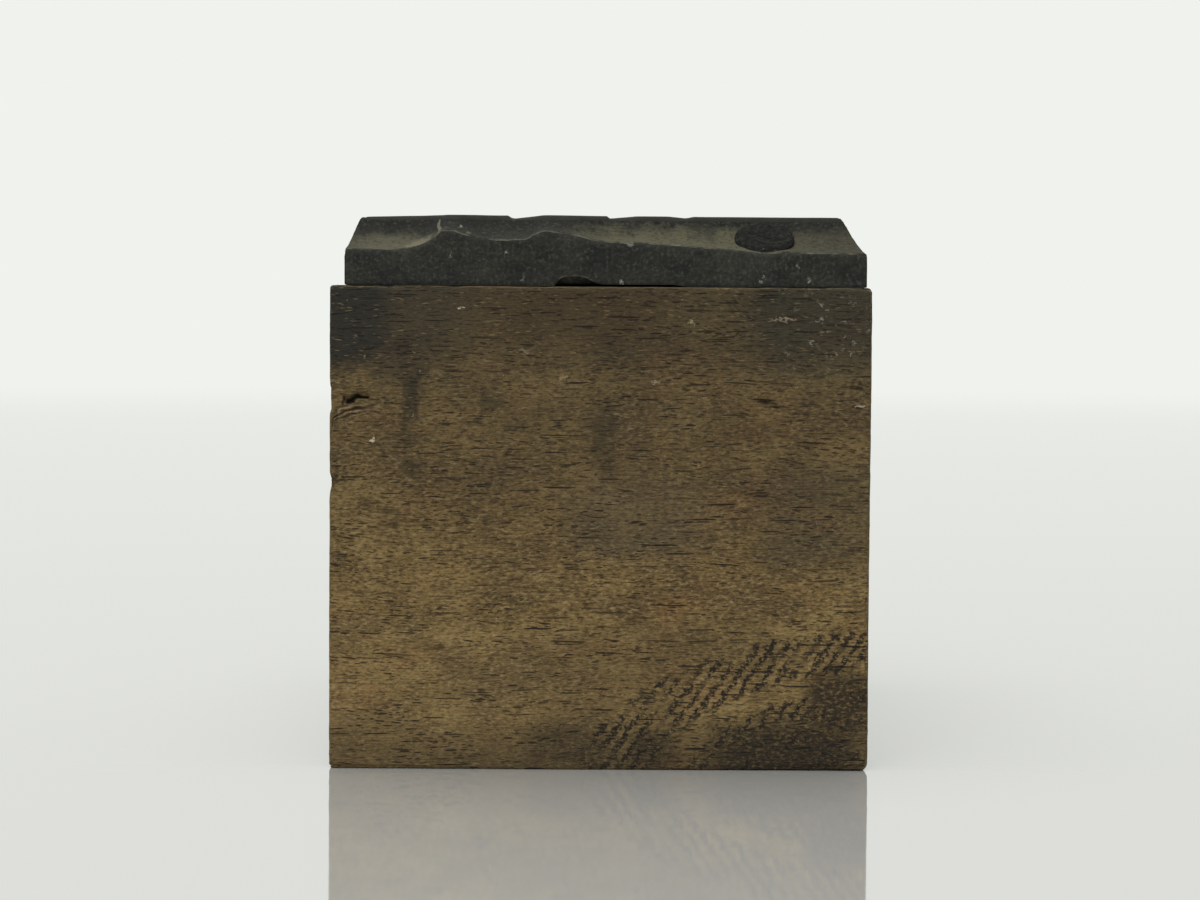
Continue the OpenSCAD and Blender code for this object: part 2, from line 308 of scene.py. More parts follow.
# %% Wood: pores
PORES = [
    # size of a cell along X, Y and Z, least and most radius in cells, darkness
    ((0.56, 0.22, 0.098), -0.3, 0.46, 0.85),
    ((1.7, 0.28, 0.09), -0.6, 0.45, 0.95),
    ((0.3, 0.14, 0.08), -0.2, 0.45, 0.7),
]
STAGGER_SIZE, STAGGER = (9.0, 9.0, 0.36), 2.6
stagger = ripples(tree, place, STAGGER_SIZE, 0.0)
stagger = add(tree, "ShaderNodeMath", {0: stagger, 1: STAGGER}, operation="MULTIPLY")
stagger = add(tree, "ShaderNodeCombineXYZ", {"X": stagger})
staggered = add(tree, "ShaderNodeVectorMath", {0: grain, 1: stagger}, operation="ADD")
rows = add(tree, "ShaderNodeMapRange", {"Value": wood_noise["rows"], "From Min": 0.36, "From Max": 0.56,
                                        "To Min": 0.4})
pores = None
for size, least, most, darkness in PORES:
    layer = grains(tree, staggered, size, least, most)
    layer = add(tree, "ShaderNodeMath", {0: layer, 1: darkness}, operation="MULTIPLY")
    pores = layer if pores is None else add(tree, "ShaderNodeMath", {0: pores, 1: layer}, operation="MAXIMUM")
pores = add(tree, "ShaderNodeMath", {0: pores, 1: rows}, operation="MULTIPLY")
# Painted highlights: light flecks where a raised fibre would catch the light.
FIBRE_HIGHLIGHT_SIZE, FIBRE_HIGHLIGHT_STRENGTH = (0.34, 0.16, 0.08), 0.36
fibre_highlights = grains(tree, staggered, FIBRE_HIGHLIGHT_SIZE, -0.4, 0.42)
fibre_highlights = add(tree, "ShaderNodeMath", {0: fibre_highlights, 1: FIBRE_HIGHLIGHT_STRENGTH}, operation="MULTIPLY")
print("wood pores:", len(PORES), "sizes")

# %% [markdown]
# ### Stains
#
# Ink and dirt are the block's history, and they have places: it darkens towards the top, partly
# ink from where the plate sat in wet ink and partly painted shade that stands in for the floor's
# light on the lower part, and there is a blue-black patch with a firm lower edge on the front's
# left corner, grey rubbed dirt on the right, and runs down the front. Each stain is a soft box in
# space, and noise moves the places that it reads, which frays its edge.

# %% Wood: stains
frayed = fray(tree, place, 1.6, 1.9, 7.0)
chipped = fray(tree, place, 0.2, 0.8)

# Darker towards the top: partly ink, partly painted shade standing in for the floor's light on the lower
# part.
TOP_DARK_FROM, TOP_DARK_TO, INK_AND_SHADE = 8.0, 21.0, 0.58
tall = add(tree, "ShaderNodeSeparateXYZ", {0: frayed}, out="Z")
stained = tint(tree, brown, tall, TOP_DARK_FROM, TOP_DARK_TO, INK_AND_SHADE, "#27241a")
FRONT = -15.0
STAINS = [
    # middle, half sizes, softness, strength, colour
    ((0.0, 0.0, 23.0), (40.0, 40.0, 5.0), 0.45, 0.5, "#28241a"),
    ((0.0, 0.0, -1.0), (40.0, 40.0, 2.3), 0.5, 0.5, "#2b241a"),
    ((-12.3, FRONT, 20.2), (3.4, 5.0, 3.4), 0.13, 0.85, "#1b1b16"),
    ((-9.2, FRONT, 20.4), (3.0, 4.0, 3.0), 0.5, 0.5, "#272620"),
    ((9.8, FRONT, 19.6), (3.4, 5.0, 2.9), 0.4, 0.6, "#262720"),
    ((9.6, FRONT, 10.6), (2.4, 3.0, 2.2), 0.5, 0.4, "#3a3628"),
    ((1.6, FRONT, 10.6), (2.4, 2.0, 1.4), 0.6, 0.3, "#4b4638"),
    ((-7.9, FRONT, 15.7), (0.32, 2.0, 0.75), 0.75, 0.75, "#1f1c16"),
    ((-8.2, FRONT, 17.2), (1.0, 2.0, 0.8), 0.8, 0.35, "#25211a"),
    ((-8.05, FRONT, 14.2), (0.18, 2.0, 0.5), 0.8, 0.45, "#29240f"),
    ((-7.95, FRONT, 12.7), (0.34, 2.0, 0.26), 0.7, 0.45, "#29240f"),
    ((0.2, FRONT, 14.0), (0.3, 2.0, 1.3), 0.9, 0.4, "#2a241a"),
    ((-4.75, FRONT, 15.5), (0.45, 2.0, 0.5), 0.6, 0.5, "#2a2718"),
    ((-1.2, FRONT, 19.3), (3.4, 2.0, 1.3), 0.6, 0.3, "#372716"),
    ((0.8, FRONT, 14.6), (7.0, 2.0, 3.4), 0.8, 0.25, "#372e1e"),
    ((3.0, 15.0, 17.0), (6.0, 4.0, 4.0), 0.3, 0.6, "#211f1c"),
    ((-7.5, 15.0, 6.0), (3.0, 3.0, 5.0), 0.6, 0.4, "#3a3022"),
    ((-11.3, 6.0, 14.0), (3.0, 5.0, 7.0), 0.3, 0.6, "#24211c"),
    ((11.3, 4.0, 9.0), (2.0, 4.0, 3.0), 0.5, 0.45, "#33291c"),
    ((11.3, -7.0, 18.0), (2.0, 4.0, 3.0), 0.4, 0.6, "#24221d"),
]
stained = stain(tree, frayed, stained, STAINS)

# The painted highlights of raised fibres lie over the stains, and dark dirt fills a pore.
for share, colour in ((fibre_highlights, "#85714c"), (pores, "#171109")):
    stained = add(tree, "ShaderNodeMix", {0: share, 6: stained, 7: colour}, out=2, data_type="RGBA")
print("stains:", len(STAINS))

# %% [markdown]
# Knocks show clean wood. The rubbed patch on the right is a crowd of them. They and the print
# below lie on the front face alone, so they reach only a little way into the wood.

# %% Wood: knocks and scuffs
SKIN = 0.6  # how far a mark on the front reaches into the wood
KNOCKS = [
    # X, Z, half width, half height, softness, strength, colour
    (7.65, 18.95, 0.36, 0.05, 0.6, 0.8, "#9d8e74"), (7.1, 18.9, 0.16, 0.05, 0.7, 0.5, "#8d8068"),
    (3.8, 18.83, 0.12, 0.05, 0.7, 0.65, "#958a6e"), (2.3, 16.3, 0.12, 0.05, 0.7, 0.6, "#958a6e"),
    (-5.87, 19.36, 0.07, 0.05, 0.6, 0.85, "#b0a88e"), (-3.14, 17.6, 0.2, 0.03, 0.8, 0.5, "#857a60"),
    (-1.54, 16.5, 0.1, 0.05, 0.8, 0.6, "#94855f"), (10.9, 15.35, 0.16, 0.06, 0.7, 0.7, "#a39a82"),
    (-9.54, 13.85, 0.06, 0.07, 0.6, 0.85, "#b5ab8e"),
]
stained = stain(tree, chipped, stained, [((knock_x, FRONT, knock_z), (half_w, SKIN, half_h), *look)
                                         for knock_x, knock_z, half_w, half_h, *look in KNOCKS])
scuffs = grains(tree, chipped, (0.34, 0.3, 0.16), -0.3, 0.42)
scuffed = blot(tree, frayed, (9.7, FRONT, 18.3), (1.4, SKIN, 1.2), 0.7, 0.75)
scuffs = add(tree, "ShaderNodeMath", {0: scuffs, 1: scuffed}, operation="MULTIPLY")
stained = add(tree, "ShaderNodeMix", {0: scuffs, 6: stained, 7: "#7f7d70"}, out=2, data_type="RGBA")
print("knocks:", len(KNOCKS))

# %% [markdown]
# ### A stray print
#
# The block once touched a wet forme, which printed on its lower right corner. The print here
# is a fan of concentric bands, a common filling in printers' borders. Each band is ruled with
# short slanted strokes, half a millimetre apart. The rough wood took the ink unevenly, so two
# noises break the strokes, a fine one in flecks and a slow one in faint and full parts, and
# the ink was smeared towards the corner.

# %% Wood: stray print
FAN_MIDDLE, FAN_STRETCH = (11.8, 0.0, -1.1), (1 / 1.85, 0.0, 1.0)
FAN_BAND, FAN_R, STROKE_PITCH, STROKE_TURN = 2.45, 7.9, 0.49, math.radians(34)
pressed_on = fray(tree, chipped, 0.9, 0.5, 3.0)
fan = add(tree, "ShaderNodeVectorMath", {0: pressed_on, 1: FAN_MIDDLE}, operation="SUBTRACT")
fan = add(tree, "ShaderNodeVectorMath", {0: fan, 1: FAN_STRETCH}, operation="MULTIPLY")
fan_radius = add(tree, "ShaderNodeVectorMath", {0: fan}, out="Value", operation="LENGTH")
fan_wave = add(tree, "ShaderNodeMath", {0: fan_radius, 1: math.pi / FAN_BAND}, operation="MULTIPLY")
for step in ("SINE", "ABSOLUTE"):
    fan_wave = add(tree, "ShaderNodeMath", {0: fan_wave}, operation=step)
fan_bands = add(tree, "ShaderNodeMapRange", {"Value": fan_wave, "From Min": 0.3, "From Max": 0.55})
fan_end = add(tree, "ShaderNodeMapRange", {"Value": fan_radius, "From Min": FAN_R, "From Max": FAN_R - 0.4})
across = (math.cos(STROKE_TURN) / STROKE_PITCH, 0.0, -math.sin(STROKE_TURN) / STROKE_PITCH)
stroke = add(tree, "ShaderNodeVectorMath", {0: pressed_on, 1: across}, out="Value", operation="DOT_PRODUCT")
stroke = add(tree, "ShaderNodeMath", {0: stroke, 1: 2 * math.pi}, operation="MULTIPLY")
stroke = add(tree, "ShaderNodeMath", {0: stroke}, operation="SINE")
stroke = add(tree, "ShaderNodeMapRange", {"Value": stroke, "From Min": -0.45, "From Max": 0.3})

# %% [markdown]
# What breaks the strokes multiplies them, and each smear is laid over the result, with the
# fine noise in it too.

# %% Wood: gaps and smears in the print
FINE_GAP, SLOW_GAP = (0.2, 0.2, 0.12), (1.5, 1.5, 1.1)
gaps = ripples(tree, place, FINE_GAP, 3.0, 0.65)
gaps = add(tree, "ShaderNodeMapRange", {"Value": gaps, "From Min": 0.38, "From Max": 0.5})
faint = ripples(tree, place, SLOW_GAP)
faint = add(tree, "ShaderNodeMapRange", {"Value": faint, "From Min": 0.36, "From Max": 0.5, "To Min": 0.45})
stray_print = blot(tree, frayed, (4.2, FRONT, 1.6), (9.4, SKIN, 5.3), 0.12, 0.95)
for mask in (fan_bands, fan_end, stroke, gaps, faint):
    stray_print = add(tree, "ShaderNodeMath", {0: stray_print, 1: mask}, operation="MULTIPLY")
SMEARS = [
    # X, Z, half width, half height, softness, strength
    (7.6, 0.9, 2.9, 1.1, 0.5, 0.85), (10.2, 2.9, 1.3, 1.2, 0.5, 0.85), (-1.6, 0.9, 1.5, 0.9, 0.7, 0.45),
    (2.4, 1.0, 0.9, 0.8, 0.6, 0.65), (0.6, 3.6, 2.6, 1.8, 0.7, 0.25), (4.4, 5.2, 2.4, 1.0, 0.7, 0.25),
]
grimy = add(tree, "ShaderNodeMapRange", {"Value": gaps, "To Min": 0.4})
for smear_x, smear_z, half_w, half_h, *look in SMEARS:
    smear = blot(tree, frayed, (smear_x, FRONT, smear_z), (half_w, SKIN, half_h), *look)
    smear = add(tree, "ShaderNodeMath", {0: smear, 1: grimy}, operation="MULTIPLY")
    stray_print = add(tree, "ShaderNodeMath", {0: stray_print, 1: smear}, operation="MAXIMUM")
printed = add(tree, "ShaderNodeMix", {0: stray_print, 6: stained, 7: "#171410"}, out=2, data_type="RGBA")
print("stray print: bands", FAN_BAND / 2, "mm wide, strokes", STROKE_PITCH, "mm apart")

# %% [markdown]
# ### Surface
#
# The height map adds the pores as pits of 0.05 mm and the fibres as fine ridges. Aged bare
# wood scatters light widely, so its roughness is high. The edges are a little lighter, partly
# rubbed by hands and partly a painted highlight where a rounded edge catches the light. The
# mesh itself says where they are: each point carries a number for them, which the material
# reads back as an attribute.

# %% Wood: rubbed edges with painted highlight, painted shade, dust and bump
rubbed = add(tree, "ShaderNodeAttribute", out="Fac", attribute_name="rubbed")
rubbed = add(tree, "ShaderNodeMath", {0: rubbed, 1: wood_noise["mottle"]}, operation="MULTIPLY")
# Painted highlight along the edges, over real rubbing.
coloured = tint(tree, printed, rubbed, 0.3, 0.62, 0.6, "#857556")
fresh = add(tree, "ShaderNodeAttribute", out="Fac", attribute_name="fresh")
torn = add(tree, "ShaderNodeAttribute", out="Fac", attribute_name="torn")
dust = grains(tree, chipped, (0.34, 0.34, 0.3), -0.2, 0.16)
# Fresh wood and dust are real colours; the dark recess mark is painted shade.
for share, colour in ((fresh, "#8e7c60"), (torn, "#1c150d"), (dust, "#8a8068")):
    coloured = add(tree, "ShaderNodeMix", {0: share, 6: coloured, 7: colour}, out=2, data_type="RGBA")
PORE_DEPTH, FIBRE_H, MOTTLE_H = -0.05, 0.03, 0.06
height = weigh(tree, (pores, PORE_DEPTH), (wood_noise["fibres"], FIBRE_H), (wood_noise["mottle"], MOTTLE_H))
normal = add(tree, "ShaderNodeBump", {"Height": height, "Distance": MM, "Strength": 1.0})
fill(tree, wood_shader, {"Base Color": coloured, "Normal": normal, "Roughness": 0.78,
                         "Specular IOR Level": 0.2})
print("wood material:", len(tree.nodes), "nodes")

# %% [markdown]
# ## The block
#
# A box is six flat grids that share their edges. Giving each axis its own list of grid lines
# puts many lines where the shape bends, at the rounded edges and round the torn notch on the
# left, and few where it is flat. Every point is then moved: first onto a rounded box whose
# radius changes along the edge, then inwards by the wear, so the block never outgrows its
# solid.


# %% Box grids
END_LINES = np.array([0, 0.035, 0.075, 0.12, 0.17, 0.23, 0.3, 0.38, 0.48])
END_BAND, LEAST_STEP = 0.6, 0.018


def grid_lines(low, high, step, *close):
    """Lines from low to high, dense at both ends and in each close band (from, to, step)."""
    inner = np.linspace(low + END_BAND, high - END_BAND, int((high - low - 2 * END_BAND) / step) + 1)
    parts = [low + END_LINES, high - END_LINES]
    for start, stop, fine in close:
        inner = inner[(inner < start) | (inner > stop)]
        parts.append(np.linspace(start, stop, int((stop - start) / fine) + 1))
    lines = np.unique(np.concatenate(parts + [inner]).round(4))
    return lines[np.append(True, np.diff(lines) > LEAST_STEP)]


def box_grid(lines):
    """Points and outward quads of a box from its three lists of grid lines."""
    points, faces = [], []
    count = 0
    for axis, side in itertools.product(range(3), (0, -1)):
        u, v = (axis + 1) % 3, (axis + 2) % 3
        grid = np.zeros((len(lines[u]), len(lines[v]), 3))
        grid[..., u], grid[..., v] = lines[u][:, None], lines[v][None, :]
        grid[..., axis] = lines[axis][side]
        index = np.arange(grid[..., 0].size).reshape(grid.shape[:2]) + count
        quad = [index[:-1, :-1], index[1:, :-1], index[1:, 1:], index[:-1, 1:]]
        faces.append(np.stack(quad if side else quad[::-1], -1).reshape(-1, 4))
        points.append(grid.reshape(-1, 3))
        count += index.size
    points, same = np.unique(np.concatenate(points).round(4), axis=0, return_inverse=True)
    return points, same.reshape(-1)[np.concatenate(faces)]


def round_box(points, low, high, radius):
    """Moves a box's points onto rounded edges. Returns them and the directions that they face."""
    radius = radius[:, None]
    inner = np.clip(points, low + radius, high - radius)
    away = points - inner
    length = np.maximum(np.linalg.norm(away, axis=1, keepdims=True), 1e-9)
    return inner + away / length * np.minimum(radius, length), away / length


# %% [markdown]
# The grid lines are close where the notch and the nick will be. The edges were never cut
# round: use wore them down, more in some places than in others, and most at the lower right.

# %% Wood block: rounded and worn
NOTCH_Z, NICK_Z = 15.5, 12.05
FRONT_STEP, DEPTH_STEP, FINE_STEP = 0.215, 0.38, 0.055
NOTCH_BAND, NICK_BAND = (NOTCH_Z - 1.0, NOTCH_Z + 0.8, 0.045), (11.5, 12.6, FINE_STEP)
EDGE_R, LEAST_R, MOST_R = 0.17, 0.07, 0.42
wood_lines = [
    grid_lines(wood_lo[0], wood_hi[0], FRONT_STEP, (wood_lo[0] + 0.4, wood_lo[0] + 1.9, FINE_STEP)),
    grid_lines(wood_lo[1], wood_hi[1], DEPTH_STEP),
    grid_lines(wood_lo[2], wood_hi[2], FRONT_STEP, NOTCH_BAND, NICK_BAND),
]
points, faces = box_grid(wood_lines)
edge_radius = EDGE_R + 0.07 * bumps(points, 3.0, 1) + 0.06 * bumps(points, 0.7, 2)
edge_radius += 0.16 * step_up(points[:, 2], 1.2, 0.2) * step_up(points[:, 0], -1.0, 11.0)
shaped, outward = round_box(points, wood_lo, wood_hi, np.clip(edge_radius, LEAST_R, MOST_R))
x, y, z = shaped.T
front, left = step_up(-outward[:, 1], 0.3, 0.9), step_up(-outward[:, 0], 0.3, 0.9)
foot = step_up(-outward[:, 2], 0.5, 0.98)
on_edge = np.abs(outward).max(axis=1) < 0.97

wear = 0.02 + 0.014 * bumps(shaped, (9.0, 9.0, 5.0), 3)
wear += 0.008 * bumps(shaped, (1.6, 0.22, 0.22), 4) + 0.007 * bumps(shaped, (0.5, 0.3, 0.3), 5)
wear += on_edge * 0.08 * np.clip(bumps(shaped, (0.9, 0.6, 0.45), 6) - 0.1, 0, 1)

# %% [markdown]
# A splinter tore out of the front's left edge. It left a bite in the outline, and a dark slot
# with a sharp lower side, where the wood split along the grain. The slot follows a line through
# `SPLIT_X`. The places that it reads are moved a little by noise, so its sides are ragged.

# %% Wood block: notch
SPLIT_X = -10.2
from_split = x - SPLIT_X
bite = bell(z, NOTCH_Z + 0.05, 0.36) * step_up(y, -12.9, -14.6)
wear += left * (0.34 * bite + 0.1 * bell(z, NICK_Z, 0.32) * step_up(y, -13.4, -14.6))
torn_place = shaped + 0.1 * bumps(shaped, (0.35, 0.35, 0.14), 7)[:, None] * [0.6, 0.0, 1.0]
torn_x, torn_z = torn_place[:, 0], torn_place[:, 2]
above = torn_z - (NOTCH_Z + 0.04 * from_split + 0.05 * np.sin(from_split * 5))
split = np.where(above > 0, bell(above, 0.0, 0.17 - 0.06 * from_split), bell(above, 0.0, 0.03))
split *= step_up(torn_x, -9.62, -9.8) * step_up(torn_x, -10.7, -10.5) * front
crack = bell(torn_x, -10.72 + 0.2 * (z - NOTCH_Z), 0.04) * bell(z, NOTCH_Z, 0.2) * front

# %% [markdown]
# Below the slot the fibres were crushed and bent down towards the corner, in ridges a fifth of
# a millimetre wide, and a smaller nick sits under them. `shadowed` marks the deep places of the
# slot, the crack and the ridges, which get painted shade, and `pale` the lighter crests of the
# ridges.

# %% Wood block: crushed fibres
TORN_X = -11.2
from_torn = x - TORN_X
bent = torn_z - 0.2 * (x + 10.4) + 0.3 * np.exp(-from_torn / 0.22)
ridges = 0.5 + 0.5 * np.sin((bent - NOTCH_Z) * 2 * np.pi / (0.21 + 0.05 * bumps(shaped, (0.9, 0.9, 0.3), 8)))
crushed = bell(bent, NOTCH_Z - 0.45, 0.3) * step_up(torn_x, -9.3, -10.3) * front
cracks = ridges * bell(z, NICK_Z + 0.2 * from_torn, 0.36) * step_up(torn_x, -10.3, -11.0) * front
wear += 0.42 * split + 0.25 * crack + crushed * (0.02 + 0.13 * ridges) + 0.09 * cracks
# Painted shade in the slot, the crack, the deep ridges and the cracks below them.
shadowed = np.maximum.reduce([1.3 * split, crack, 0.9 * crushed * step_up(ridges, 0.6, 0.95), 0.7 * cracks])
pale = crushed * step_up(ridges, 0.35, 0.05) * step_up(z, NOTCH_Z - 1.0, NOTCH_Z - 0.4)

# %% [markdown]
# A handful of dents are spread over the front. The deeper ones get painted shade inside. At the
# foot there is little wear, so the block stands flat.

# %% Wood block: dents
DENTS = [
    # X, Z, half width, half height, depth
    (6.9, 15.5, 0.3, 0.09, 0.18), (7.35, 15.3, 0.3, 0.05, 0.14), (6.6, 13.35, 0.16, 0.07, 0.15),
    (6.14, 9.8, 0.04, 0.16, 0.14), (9.9, 18.0, 0.5, 0.35, 0.06), (9.2, 17.4, 0.3, 0.4, 0.05),
    (7.65, 18.85, 0.4, 0.05, 0.1), (-6.6, 12.4, 0.2, 0.1, 0.07), (-4.6, 15.0, 0.25, 0.2, 0.05),
    (10.4, 19.35, 0.12, 0.08, 0.14), (-9.2, 12.75, 0.05, 0.22, 0.1), (10.9, 12.2, 0.3, 0.08, 0.06),
    (6.7, 11.6, 0.2, 0.05, 0.1), (-3.4, 19.2, 0.1, 0.05, 0.08), (8.6, 15.0, 0.12, 0.08, 0.1),
]
for dent_x, dent_z, half_w, half_h, depth in DENTS:
    knock = front * bell(x, dent_x, half_w) * bell(z, dent_z, half_h)
    wear += depth * knock
    shadowed = np.maximum(shadowed, step_up(depth, 0.06, 0.14) * knock)
wear *= 1 - 0.85 * foot
print("dents:", len(DENTS), "deepest wear", wear.max().round(2), "mm")

# %% [markdown]
# The wear is taken off against the direction that each point faces. The marks go into the
# mesh, where the wood's material reads them.

# %% Wood block: the piece
# The edge mark is partly rubbing and partly painted highlight.
corner = step_up(1 - np.abs(outward).max(axis=1), 0.1, 0.27)
points = shaped - outward * np.clip(wear, 0, None)[:, None]
block = make_piece("block", points, faces.tolist(), wood, rubbed=corner * (1 - foot),
                   torn=np.clip(shadowed, 0, 0.92), fresh=np.clip(0.75 * pale, 0, 1))
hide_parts("wood_block")
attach(block, "root")

# %% [markdown]
# ## Torn fibres
#
# Where the wood tore, thin splinters still stand in the notch and along the worn edges. They
# repeat, so Geometry Nodes scatter them: points at random places between two corners, a
# slim four-sided spike on each, turned about the grain by a random angle, and each with its
# own length. The seed is fixed. The tree works in millimetres, as the rest of this file does.
# Its result is copied to a plain mesh, and `join` puts several such meshes together.


# %% Running a tree
def run_tree(tree, **values):
    """Evaluates a Geometry Nodes tree with these inputs, and returns its result's points and faces."""
    holder = bpy.data.objects.new(tree.name, bpy.data.meshes.new(tree.name))
    bpy.context.scene.collection.objects.link(holder)
    modifier = holder.modifiers.new(tree.name, "NODES")
    modifier.node_group = tree
    for socket in tree.interface.items_tree:
        if socket.in_out == "INPUT" and socket.name in values:
            modifier[socket.identifier] = values[socket.name]
    evaluated = holder.evaluated_get(bpy.context.evaluated_depsgraph_get())
    mesh = bpy.data.meshes.new_from_object(evaluated)
    holder.modifiers.remove(modifier)
    bpy.data.objects.remove(holder)
    return [vertex.co[:] for vertex in mesh.vertices], [polygon.vertices[:] for polygon in mesh.polygons]


def join(parts):
    """The points and faces of several meshes as those of one mesh."""
    points, faces = [], []
    for more_points, more_faces in parts:
        faces += [[len(points) + corner for corner in face] for face in more_faces]
        points += list(more_points)
    return np.array(points), faces


def start_tree(name, **sockets):
    """A new Geometry Nodes tree with named inputs. Returns it, its inputs and its output node."""
    tree = bpy.data.node_groups.new(name, "GeometryNodeTree")
    tree.interface.new_socket("Geometry", in_out="OUTPUT", socket_type="NodeSocketGeometry")
    for socket, kind in sockets.items():
        tree.interface.new_socket(socket, in_out="INPUT", socket_type="NodeSocket" + kind)
    return tree, tree.nodes.new("NodeGroupInput").outputs, tree.nodes.new("NodeGroupOutput")


# %% [markdown]
# A splinter lies along the grain, which is the X axis, so a spike that stands up is turned a
# quarter about Y, give or take its spread, and swung a little about Z.

# %% Splinter tree
splinters, given, result = start_tree("scatter_splinters", Count="Int", Low="Vector", High="Vector",
                                      Length="Float", Thick="Float", Spread="Float", Seed="Int",
                                      Material="Material")
spots = add(splinters, "FunctionNodeRandomValue", {0: given["Low"], 1: given["High"], "Seed": given["Seed"]},
            data_type="FLOAT_VECTOR")
cloud = add(splinters, "GeometryNodePoints", {"Count": given["Count"], "Position": spots})
spike = add(splinters, "GeometryNodeMeshCone", {"Vertices": 4, "Side Segments": 3, "Radius Top": 0.05,
                                                "Radius Bottom": 1.0, "Depth": 1.0})
SWING, SHORTEST = 0.3, 0.4
least = add(splinters, "ShaderNodeMath", {0: given["Spread"], 1: -1.0}, operation="MULTIPLY")
turn = add(splinters, "FunctionNodeRandomValue", {2: least, 3: given["Spread"], "Seed": given["Seed"]},
           out=1)
swing = add(splinters, "FunctionNodeRandomValue", {2: 0.0, 3: SWING, "Seed": given["Seed"]}, out=1)
lie = add(splinters, "ShaderNodeMath", {0: turn, 1: math.pi / 2}, operation="ADD")
angles = add(splinters, "ShaderNodeCombineXYZ", {"Y": lie, "Z": swing})
long_one = add(splinters, "FunctionNodeRandomValue", {2: SHORTEST, 3: 1.0, "Seed": given["Seed"]}, out=1)
long_one = add(splinters, "ShaderNodeMath", {0: long_one, 1: given["Length"]}, operation="MULTIPLY")
sizes = add(splinters, "ShaderNodeCombineXYZ", {"X": given["Thick"], "Y": given["Thick"], "Z": long_one})
placed = add(splinters, "GeometryNodeInstanceOnPoints", {"Points": cloud, "Instance": spike,
                                                         "Rotation": angles, "Scale": sizes})
placed = add(splinters, "GeometryNodeRealizeInstances", {0: placed})
placed = add(splinters, "GeometryNodeSetMaterial", {"Geometry": placed, "Material": given["Material"]})
splinters.links.new(placed, result.inputs[0])

# %% [markdown]
# The fibres are paler than the face, since they come from inside the wood, where no ink got.

# %% Fresh wood
fresh_wood, tree, fresh_shader, place = start_material("freshly_torn_hardwood")
streaks = ripples(tree, place, (0.3, 0.05, 0.05))
pale_brown = add(tree, "ShaderNodeMix", {0: streaks, 6: "#4a3a22", 7: "#9a8058"}, out=2, data_type="RGBA")
fill(tree, fresh_shader, {"Base Color": pale_brown, "Roughness": 0.85, "Specular IOR Level": 0.2})

# %% [markdown]
# Three crowds of splinters stand in the notch, in the nick under it and at the worn top
# corner. Each one keeps just inside the block's outline.

# %% Splinters
SPLINTERS = [
    # count, low corner, high corner, length, thickness, spread
    (26, (-11.0, -14.82, 14.8), (-10.1, -14.72, 15.3), 0.9, 0.028, 0.35),
    (10, (-11.1, -14.85, 11.75), (-10.7, -14.78, 12.35), 0.5, 0.022, 0.5),
    (16, (-11.1, -14.9, 20.2), (-10.5, -14.7, 20.3), 0.35, 0.02, 0.25),
]
FIRST_SEED = 3
crowds = []
for number, (count, low, high, length, thick, spread) in enumerate(SPLINTERS):
    crowds.append(run_tree(splinters, Count=count, Low=low, High=high, Length=length, Thick=thick,
                           Spread=spread, Seed=number + FIRST_SEED, Material=fresh_wood))
torn_fibres = make_piece("torn_fibres", *join(crowds), fresh_wood)
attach(torn_fibres, "root")

# %% [markdown]
# ## The plate's shape
#
# A workman pared the plate's front and back with a gouge, in long scoops that overlap, filed
# its left edge round, and left a hollow bevel on its right. The height of that surface is a
# rule, so it is a function of the place. A cut's profile is an arc whose middle lies out from
# the edge and above the plate, and a scoop is deepest in its middle.

# %% Shoulders
SHELL_T, COUNTER = 0.22, 0.75
# Middle along the edge, height of the lip there, half width in which the side climbs 1 mm, power
FRONT_SCOOPS = [(1.3, 1.5, 2.89, 4), (6.45, 1.92, 3.0, 2), (7.15, 1.95, 1.05, 4), (12.6, 1.84, 3.8, 4),
                (21.5, 1.43, 14.0, 2)]
BACK_SCOOPS = [(2.2, 1.55, 4.24, 2), (8.6, 1.9, 4.0, 2), (13.6, 1.75, 3.87, 2), (18.8, 1.45, 5.29, 2)]
RIGHT_SCOOPS = [(5.6, 0.75, 4.6, 2), (13.0, 0.82, 4.4, 2), (20.1, 0.75, 4.7, 2), (27.1, 0.7, 4.1, 2)]
# How far out of the edge and above the plate a cut's middle lies, and the height between scoops
LONG_COVE, SIDE_COVE = (0.63, 2.18, 2.3), (6.45, 2.66, 1.3)
SCOOP_LEAN, RIDGE_AT = 0.12, 3.8
SIDE_LEDGE, FILE_LEDGE, FILE_FROM, FILE_SLOPE = 1.4, 1.3, 1.32, 3.3
RIDGE_SOFT, FILE_SOFT, SIDE_SOFT = 0.02, 0.2, 0.09
plate_w, plate_d = plate_hi[0] - plate_lo[0], plate_hi[1] - plate_lo[1]
plate_mid = np.array([(plate_lo[0] + plate_hi[0]) / 2, (plate_lo[1] + plate_hi[1]) / 2])


def soft_lowest(first, second, soft):
    """The lower of two heights, rounded where they meet."""
    return -soft * np.logaddexp(-first / soft, -second / soft)


def lip_line(along, scoops, crest):
    """Height of the lip at a place along an edge."""
    height = np.full(len(along), crest)
    for at, low, half_w, power in scoops:
        height = soft_lowest(height, low + np.abs((along - at) / half_w) ** power, RIDGE_SOFT)
    return height


def cove(along, inset, scoops, shape):
    """Height that the gouge left above the plate's underside, at a place along and in from an edge."""
    out, up, crest = shape
    radius = np.hypot(out, PLATE_T + up - lip_line(along, scoops, crest))
    return PLATE_T + up - np.sqrt(np.maximum(radius ** 2 - (inset + out) ** 2, 0))


